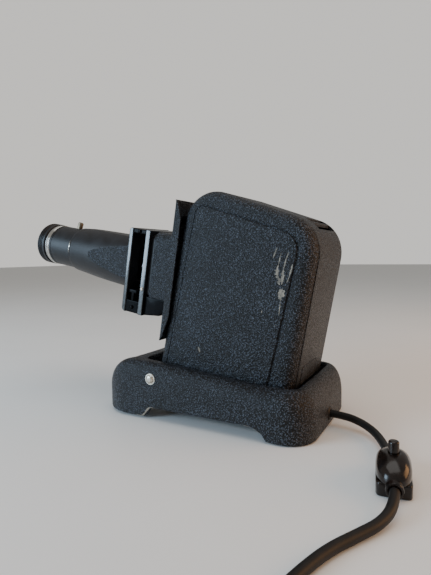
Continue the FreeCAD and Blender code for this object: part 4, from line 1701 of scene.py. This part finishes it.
# ------------------------ snout and lens
@dataclass
class LensTube:
    """The cast snout and the sliding barrel with its glass, ring and bezel."""

    snout_front: float = -160.0
    snout_rear: float = -70.0
    rim: float = 24.7
    flare: float = 32.8
    flat: float = 28.0
    high: float = 26.3
    barrel: float = 22.9
    bore: float = 20.6
    barrel_front: float = -193.5
    barrel_rear: float = -112.0
    ring_front: float = -199.0
    bezel_front: float = -212.0

    def snout_section(self, along: float, steps: int) -> list[tuple]:
        """Draw the snout's section: a cone cut flat on its four sides.

        Args:
            along: the place along the axis.
            steps: how many points it has.

        Returns:
            The section's points.
        """
        share = (along - self.snout_front) / (self.snout_rear - self.snout_front)
        radius = self.rim + (self.flare - self.rim) * share
        points = []
        for step in range(steps):
            angle = math.tau * step / steps
            across, up = radius * math.cos(angle), radius * math.sin(angle)
            points.append((self._soft_limit(across, self.flat), along,
                           self._soft_limit(up, self.high)))
        return points

    @staticmethod
    def _soft_limit(value: float, limit: float) -> float:
        """Hold a value under a limit, with a tight knee.

        Args:
            value: the value.
            limit: what it stays under.

        Returns:
            The held value.
        """
        knee = 0.35
        size = abs(value)
        if size <= limit - knee:
            return value
        over = size - (limit - knee)
        held = limit - knee + knee * (1 - math.exp(-over / knee))
        return math.copysign(held, value)

    def snout(self) -> Piece:
        """Make the snout as one open sleeve."""
        steps = 240
        front, rear = self.snout_front, self.snout_rear
        body = Solid()
        rings = []
        for along, inset in ((front, 0.9), (front + 0.25, 0.35), (front + 0.9, 0.0)):
            rings.append([(across * (1 - inset / self.rim), along, up * (1 - inset / self.rim))
                          for across, _, up in self.snout_section(front + 0.9, steps)])
        count = 30
        for step in range(1, count + 1):
            rings.append(self.snout_section(front + 0.9 + (rear - front - 1.4) * step / count,
                                            steps))
        rings.append([(across * 0.985, rear, up * 0.985)
                      for across, _, up in self.snout_section(rear, steps)])
        for along in (rear, front + 0.6, front):
            spread = 0.12 if along != front else 0.5
            rings.append([((self.barrel + spread) * math.cos(math.tau * step / steps), along,
                           (self.barrel + spread) * math.sin(math.tau * step / steps))
                          for step in range(steps)])
        body.loft(rings, loop=True)
        made = body.make("snout_dressed", OPTICS)
        for slot in (Slot.BARREL, Slot.CRINKLE):
            made.data.materials.append(PAINT.material(slot))
        back = OPTICS.inverted()
        for face in made.data.polygons:
            middle = back @ face.center / MM
            if abs(middle.x) > self.flat - 0.4:
                face.material_index = 1
        return Piece(made, Body.LAMPHOUSE, Slot.CRINKLE, ("snout",))

    def rim_wear(self) -> Piece:
        """Make the short bright sliver rubbed bare on the snout's front rim."""
        steps, turns = 22, (-7.0, 21.0)
        profile = ((0.05, -0.5), (0.05, 0.03), (1.0, 0.05), (1.5, -0.2))
        body = Solid()
        rings = []
        for step in range(steps + 1):
            share = step / steps
            angle = math.radians(turns[0] + (turns[1] - turns[0]) * share)
            swell = math.sin(math.pi * min(max(share, 0.05), 0.95)) ** 0.5
            tear = 0.75 + 0.5 * noise.noise(Vector((step * 0.7, 4.4, 1.9)))
            ring = []
            for along, rise in profile:
                reach = self.rim + rise + 0.1 * along
                ring.append((reach * math.cos(angle),
                             self.snout_front + 0.25 + along * swell * tear,
                             reach * math.sin(angle)))
            rings.append(ring)
        body.loft(rings)
        made = body.make("snout_rim_wear", OPTICS)
        made.data.materials.append(PAINT.material(Slot.NICKEL))
        return Piece(made, Body.LAMPHOUSE, Slot.NICKEL)

    def barrel_tube(self) -> Piece:
        """Make the sliding tube, with a fine bead at its front."""
        body = Solid()
        outside, inside = self.barrel, self.bore
        front, rear = self.barrel_front, self.barrel_rear
        body.turned([(front, inside), (front, outside - 0.3), (front + 0.3, outside),
                     (front + 2.4, outside), (front + 2.6, outside - 0.35),
                     (front + 3.1, outside - 0.35), (front + 3.3, outside),
                     (rear - 0.5, outside), (rear, outside - 0.5), (rear, inside + 0.3),
                     (rear - 0.3, inside)], 128, "Y", loop=True)
        made = body.make("focus_tube_dressed", OPTICS)
        return Piece(made, Body.LENS, Slot.BARREL, ("focus_tube",))

    def pin(self) -> Piece:
        """Make the brass focusing pin, a rounded stub with a waist."""
        body = Solid()
        body.turned([(self.barrel - 2, 0.0), (self.barrel - 2, 2.3), (self.barrel + 0.6, 2.3),
                     (self.barrel + 0.9, 3.0), (self.barrel + 6.2, 3.0),
                     (self.barrel + 7.0, 2.7), (self.barrel + 7.4, 1.8),
                     (self.barrel + 7.5, 0.0)], 48, "Z")
        lean = Matrix.Rotation(math.radians(-13), 4, "X")
        foot = Matrix.Translation((0, 0, self.barrel * MM))
        placed = OPTICS @ Matrix.Translation((0, -170 * MM, 0)) @ foot @ lean @ foot.inverted()
        return Piece(body.make("focus_pin_dressed", placed), Body.LENS, Slot.BRASS,
                     ("focus_pin",))

    def ring(self) -> Piece:
        """Make the bright plated ring."""
        body = Solid()
        front, rear = self.ring_front, self.barrel_front
        body.turned([(front, self.bore), (front, 22.8), (front + 0.9, 22.8),
                     (front + 1.0, 23.2), (front + 1.3, 23.4), (rear - 1.8, 23.35),
                     (rear - 1.5, 23.05), (rear - 1.1, 23.05), (rear - 0.8, 23.3),
                     (rear - 0.35, 23.3), (rear, 23.0), (rear, self.bore)], 128, "Y",
                    loop=True)
        return Piece(body.make("chrome_ring_dressed", OPTICS), Body.LENS, Slot.CHROME,
                     ("chrome_ring",))

    def bezel(self) -> Piece:
        """Make the front bezel with its grooves and its stepped mouth."""
        body = Solid()
        front, rear, radius = self.bezel_front, self.ring_front, 23.8
        section = [(front + 4, self.bore), (front + 4, self.bore - 1.2),
                   (front + 1.6, self.bore - 0.6), (front + 0.5, self.bore + 0.6),
                   (front, self.bore + 1.3), (front, radius - 1.0),
                   (front + 0.35, radius - 0.3), (front + 1.0, radius)]
        for start in (2.6, 4.6, 6.6):
            section += [(front + start, radius), (front + start + 0.3, radius - 0.7),
                        (front + start + 0.9, radius - 0.7), (front + start + 1.2, radius)]
        section += [(rear - 2.2, radius), (rear - 1.9, radius - 0.3),
                    (rear - 1.6, radius - 1.3), (rear, radius - 1.3), (rear, self.bore)]
        body.turned(section, 128, "Y", loop=True)
        return Piece(body.make("front_bezel_dressed", OPTICS), Body.LENS, Slot.BARREL,
                     ("front_bezel",))

    def glass(self, node: str, near: float, far: float, curve: float,
              bulge: int) -> Piece:
        """Make one plano-convex glass.

        Args:
            node: the CAD node that it stands for.
            near: its front plane along the axis.
            far: its rear plane.
            curve: its curved face's radius.
            bulge: -1 if the curved face is in front, and 1 if behind.

        Returns:
            The piece.
        """
        half = self.bore - 0.02
        sag = curve - math.sqrt(curve ** 2 - half ** 2)
        flat, tip = (far, near) if bulge < 0 else (near, far)
        section = [(flat, 0.0)]
        section += [(flat, half * share) for share in (0.4, 0.8, 0.985)]
        section += [(flat + (0.15 if flat < tip else -0.15), half)]
        rim = tip + sag * (-bulge)
        section += [(rim, half)]
        rings = 14
        for step in range(rings - 1, -1, -1):
            reach = half * step / rings
            drop = curve - math.sqrt(curve ** 2 - reach ** 2)
            section.append((tip - bulge * drop, reach))
        body = Solid()
        body.turned(section, 96, "Y")
        return Piece(body.make(node + "_dressed", OPTICS), Body.LENS, Slot.LENS, (node,))

    def build(self) -> list[Piece]:
        """Make every piece of the snout and the lens."""
        return [self.snout(), self.rim_wear(), self.barrel_tube(), self.pin(),
                self.ring(), self.bezel(),
                self.glass("lens_front", -207.5, -199.0, 52, -1),
                self.glass("lens_middle", -189.0, -185.0, 120, 1),
                self.glass("lens_rear", -176.0, -169.0, 60, 1)]


# ------------------------ switch, plug, lead
@dataclass
class LeadSwitch:
    """The in-line push-button switch that lies on the table."""

    along: float = 18.0
    across: float = 11.0
    crown: float = 22.0
    axis: float = 8.0
    collar: float = 5.5
    button: float = 3.4
    placed: Matrix = field(default_factory=lambda: Matrix.Translation(
        (0.0848, 0.2358, 0)) @ Matrix.Rotation(math.radians(9), 4, "Z"))

    def level(self, height: float, half: float, wide: float, power: float) -> list[tuple]:
        """Draw one level of the switch."""
        return [(x, y, height) for x, y in squircle(half, wide, power, 96)]

    def lower(self) -> Piece:
        """Make the lower half with its two cord collars."""
        body = Solid()
        half, wide = self.along, self.across
        body.loft([self.level(height, half - inset, wide - inset, 9)
                   for height, inset in ((0.0, 1.4), (0.0, 0.9), (0.25, 0.35), (0.9, 0.0),
                                         (8.0, 0.0), (8.6, 0.15), (9.0, 0.6))])
        for side in (1, -1):
            body.turned([(side * (half - 4), 3.3), (side * (half - 4), self.collar),
                         (side * 24.0, self.collar), (side * 24.7, self.collar - 0.3),
                         (side * 25.0, self.collar - 1.0), (side * 25.0, 3.9),
                         (side * 24.6, 3.3)], 64, "X", (0, 0, self.axis), True)
        return Piece(body.make("switch_lower_dressed", self.placed), Body.BASE,
                     Slot.BAKELITE, ("switch_lower",))

    def upper(self) -> Piece:
        """Make the crowned upper half with the button's well."""
        body = Solid()
        levels = [(9.1, 20.2, 10.4, 2.7), (9.4, 20.9, 10.8, 2.7), (10.2, 21.2, 11.0, 2.7),
                  (13.4, 20.7, 11.0, 2.6), (16.2, 18.8, 10.6, 2.5), (18.4, 15.8, 9.6, 2.4),
                  (20.2, 12.0, 8.2, 2.3), (21.3, 8.8, 6.9, 2.1), (21.8, 6.8, 5.9, 2.0),
                  (22.0, 5.4, 5.1, 2.0)]
        rings = [self.level(height, half, wide, power) for height, half, wide, power in levels]
        well = self.button + 0.3
        rings += [self.level(22.0, well + 0.5, well + 0.5, 2), self.level(21.7, well, well, 2),
                  self.level(10.6, well, well, 2)]
        body.loft(rings)
        return Piece(body.make("switch_upper_dressed", self.placed), Body.BASE,
                     Slot.BAKELITE, ("switch_upper",))

    def push_button(self) -> Piece:
        """Make the tall round button."""
        body = Solid()
        radius, top = self.button, self.crown + 7.5
        body.turned([(14.0, 0.0), (14.0, radius), (top - 1.1, radius), (top - 0.5, radius - 0.2),
                     (top - 0.12, radius - 0.7), (top, radius - 1.5), (top + 0.0, 0.0)], 64, "Z")
        return Piece(body.make("switch_button_dressed", self.placed), Body.BUTTON,
                     Slot.BAKELITE, ("switch_button",))

    def build(self) -> list[Piece]:
        """Make every piece of the switch."""
        return [self.lower(), self.upper(), self.push_button()]


@dataclass
class CoiledLead:
    """The free mains lead: to the switch, then on to the stored coil and the plug."""

    radius: float = 3.2
    lead: tuple = ((2, 174.2, 10.5), (2.2, 187.4, 10.3), (6.1, 199.9, 8.6),
                   (14, 210.6, 6.8), (25.4, 218.4, 5.6), (39.4, 224.4, 5.2),
                   (50.1, 228.3, 6.4), (60.1, 231.9, 8))
    tail: tuple = ((109.5, 239.7, 8), (123, 241, 6.5), (139, 236.5, 4),
                   (154.5, 227, 3.3), (173, 216.5, 3.3), (194, 209.2, 3.3),
                   (216, 203.6, 3.3), (236, 189.5, 3.3), (252.7, 165.3, 3.4))
    coil_centre: tuple = (279.4, 202.0)
    coil_outer: float = 45.4
    coil_inner: float = 24.0
    coil_starts: float = 234.0
    coil_ends: float = 60.0
    whole_turns: int = 7
    points_each_turn: int = 20
    plug_radius: float = 13.0
    plug_length: float = 30.0
    end_run: float = 42.0
    plug_up: float = 13.5

    def coil(self) -> list[tuple]:
        """Give the coil's points: wound in on the table, up, and out on top."""
        sweep = self.whole_turns * 360 + self.coil_ends - self.coil_starts
        turns = sweep / 360
        middle = turns / 2
        count = round(turns * self.points_each_turn)
        reach = [(0, self.coil_outer), (middle - 0.11, self.coil_inner),
                 (middle + 0.16, self.coil_inner), (turns, self.coil_outer)]
        rise = [(0, self.radius + 0.1), (middle - 0.14, self.radius + 0.1),
                (middle + 0.16, self.radius * 3 + 0.1), (turns, self.radius * 3 + 0.1)]
        points = []
        for step in range(1, count + 1):
            turn = turns * step / count
            angle = math.radians(self.coil_starts + 360 * turn)
            radius = along_line(turn, reach)
            points.append((self.coil_centre[0] + radius * math.cos(angle),
                           self.coil_centre[1] + radius * math.sin(angle),
                           along_line(turn, rise)))
        return points

    def plug_start(self) -> tuple:
        """Give the point where the lead enters the plug."""
        angle = math.radians(self.coil_ends)
        return (self.coil_centre[0] + self.coil_outer * math.cos(angle)
                - self.end_run * math.sin(angle),
                self.coil_centre[1] + self.coil_outer * math.sin(angle)
                + self.end_run * math.cos(angle), self.plug_up)

    def spline(self, name: str, points: Sequence[tuple]) -> bpy.types.Object:
        """Make a round cord on one smooth spline.

        Args:
            name: the cord's name.
            points: its control points in millimetres.

        Returns:
            The curve object.
        """
        curve = bpy.data.curves.new(name, "CURVE")
        curve.dimensions = "3D"
        curve.bevel_depth = self.radius * MM
        curve.bevel_resolution = 6
        curve.resolution_u = 6
        curve.use_fill_caps = True
        line = curve.splines.new("NURBS")
        line.points.add(len(points) - 1)
        for spot, point in zip(line.points, points):
            spot.co = (*[value * MM for value in point], 1.0)
        line.order_u = 3
        line.use_endpoint_u = True
        curve.materials.append(PAINT.material(Slot.CORD))
        item = bpy.data.objects.new(name, curve)
        bpy.context.scene.collection.objects.link(item)
        return item

    def plug(self) -> list[Piece]:
        """Make the round bakelite plug with its finger grooves, and its blades."""
        placed = Matrix.Translation(Vector(self.plug_start()) * MM) @ Matrix.Rotation(
            math.radians(self.coil_ends), 4, "Z")
        section = [(0.0, 0.0), (0.0, 4.6), (0.4, 5.4), (1.0, 5.7), (4.5, 5.9), (7.5, 6.8),
                   (10.0, 8.8), (12.0, 10.8), (13.6, 12.0)]
        for start in (14.2, 17.0, 19.8):
            section += [(start, 12.6), (start + 0.7, self.plug_radius),
                        (start + 1.5, self.plug_radius), (start + 2.2, 12.6)]
        section += [(23.2, 12.7), (24.0, self.plug_radius), (29.2, self.plug_radius),
                    (29.8, 12.6), (self.plug_length, 11.8), (self.plug_length, 0.0)]
        body = Solid()
        body.turned(section, 96, "Y")
        made = body.make("cord_plug_dressed", placed)
        return [Piece(made, Body.BASE, Slot.BAKELITE, ("cord_plug",)),
                keep_softened("plug_blades", Body.BASE, Slot.BRASS, 0.35)]

    def build(self) -> list[Piece]:
        """Make the plug; the cords follow once the switch is there."""
        return self.plug()

    def lay_cords(self) -> None:
        lead = self.spline("lead_to_switch", self.lead)
        rest = self.spline("lead_to_plug", [*self.tail, *self.coil(), self.plug_start()])
        Piece(lead, Body.BASE, Slot.CORD, ("cord_lead",)).install()
        Piece(rest, Body.BASE, Slot.CORD, ("cord_tail", "cord_coil", "cord_end")).install()


# ------------------------ what stays from CAD
@dataclass
class CarriedParts:
    """The CAD nodes that keep their own shape and only get a finish."""

    # CAD nodes that sit in shade and get the darker painted shade enamel instead of their slot's finish.
    painted_shade: tuple = ("plate_spacers",)

    def dress(self) -> None:
        """Give every shown CAD node its slot's material, or painted shade to the nodes listed for it."""
        slots = {part["node"]: Slot(part["material_slot"])
                 for part in frame["record"]["subparts"] if "material_slot" in part}
        for node, item in frame["nodes"].items():
            if item.hide_render or node not in slots:
                continue
            for place in item.material_slots:
                place.link = "OBJECT"
                place.material = (PAINT.painted_shade_gloss() if node in self.painted_shade
                                  else PAINT.material(slots[node]))
            log.info("%s keeps its CAD shape as %s", node, slots[node].value)


# ------------------------ studio
@dataclass
class Studio:
    """The pale floor, the soft lights and the camera."""

    place: tuple = (383.9, 271.0, 150.0)
    forward: tuple = (-0.8732, -0.4820, -0.0722)
    roll: float = 0.72
    lens: float = 27.86

    def floor(self) -> None:
        """Lay a plain pale floor."""
        shader = Shader("pale_floor")
        place = shader.place()
        broad = shader.noise(place, 160.0, 3.0)
        fine = shader.noise(place, 1.2, 3.0)
        pale = shader.finish(
            Base_Color=shader.mix(broad, (0.8, 0.8, 0.785), (0.86, 0.855, 0.84)),
            Roughness=0.42 + broad * 0.1, Normal=shader.bump(fine, 0.01))
        ground = Solid()
        reach = 6000.0
        ground.box((-reach, -reach, -40), (reach, reach, 0))
        item = ground.make("floor", LEVEL, [pale])

    def light(self, name: str, place: tuple, target: tuple, size: tuple, power: float,
              colour: tuple) -> None:
        """Hang one soft light.

        Args:
            name: the light's name.
            place: where it hangs, in metres.
            target: where it points.
            size: its width and its height in metres.
            power: its strength in watts.
            colour: its colour.
        """
        lamp = bpy.data.lights.new(name, "AREA")
        lamp.shape = "RECTANGLE"
        lamp.size, lamp.size_y = size
        lamp.energy = power
        lamp.color = colour
        item = bpy.data.objects.new(name, lamp)
        item.location = place
        aim = Vector(target) - Vector(place)
        item.rotation_mode = "QUATERNION"
        item.rotation_quaternion = aim.to_track_quat("-Z", "Y")
        bpy.context.scene.collection.objects.link(item)

    def sky(self) -> None:
        """Give the room its even pale light."""
        world = bpy.data.worlds.new("room")
        world.use_nodes = True
        air = world.node_tree.nodes["Background"]
        air.inputs["Color"].default_value = (0.80, 0.78, 0.745, 1.0)
        seen = world.node_tree.nodes.new("ShaderNodeLightPath")
        strength = world.node_tree.nodes.new("ShaderNodeMapRange")
        strength.inputs["To Min"].default_value = 0.48
        strength.inputs["To Max"].default_value = 0.98
        links = world.node_tree.links
        links.new(seen.outputs["Is Camera Ray"], strength.inputs["Value"])
        links.new(strength.outputs[0], air.inputs["Strength"])
        bpy.context.scene.world = world

    def camera(self) -> None:
        """Set the camera at the viewing angle."""
        forward = Vector(self.forward).normalized()
        level = forward.cross(Vector((0, 0, 1))).normalized()
        above = level.cross(forward)
        turn = math.radians(self.roll)
        right = level * math.cos(turn) - above * math.sin(turn)
        up = level * math.sin(turn) + above * math.cos(turn)
        seen = bpy.data.cameras.new("camera")
        seen.lens = self.lens
        seen.sensor_width = 36.0
        seen.clip_start = 0.01
        item = bpy.data.objects.new("camera", seen)
        facing = Matrix((right, up, -forward)).transposed().to_4x4()
        item.matrix_world = Matrix.Translation(Vector(self.place) * MM) @ facing
        bpy.context.scene.collection.objects.link(item)
        bpy.context.scene.camera = item

    def build(self) -> None:
        """Set up the whole studio."""
        self.floor()
        self.sky()
        middle = (0.0, 0.03, 0.1)
        self.light("window", (1.05, -0.80, 0.42), middle, (0.6, 0.7), 18.5,
                   (0.58, 0.79, 1.0))
        self.light("ceiling", (0.1, 0.1, 1.5), middle, (1.2, 1.2), 8.0, (1.0, 0.98, 0.95))
        self.light("table_lamp", (-0.25, 1.0, 0.38), (0.0, 0.1, 0.12), (0.7, 0.5), 5.5,
                   (1.0, 0.52, 0.22))
        self.camera()


def main() -> None:
    """Build every sub-assembly in order and report its pieces."""
    logging.basicConfig(level=logging.INFO, format="%(name)s: %(message)s")
    lead = CoiledLead()
    assemblies = (BaseCasting(), Lamphouse(), HeatShield(), SlideGate(), LensTube(),
                  LeadSwitch(), lead)
    for assembly in assemblies:
        pieces = assembly.build()
        for piece in pieces:
            piece.install()
        log.info("%s: %d pieces", type(assembly).__name__, len(pieces))
    lead.lay_cords()
    CarriedParts().dress()
    Studio().build()
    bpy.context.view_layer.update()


if __name__ == "__main__":
    main()
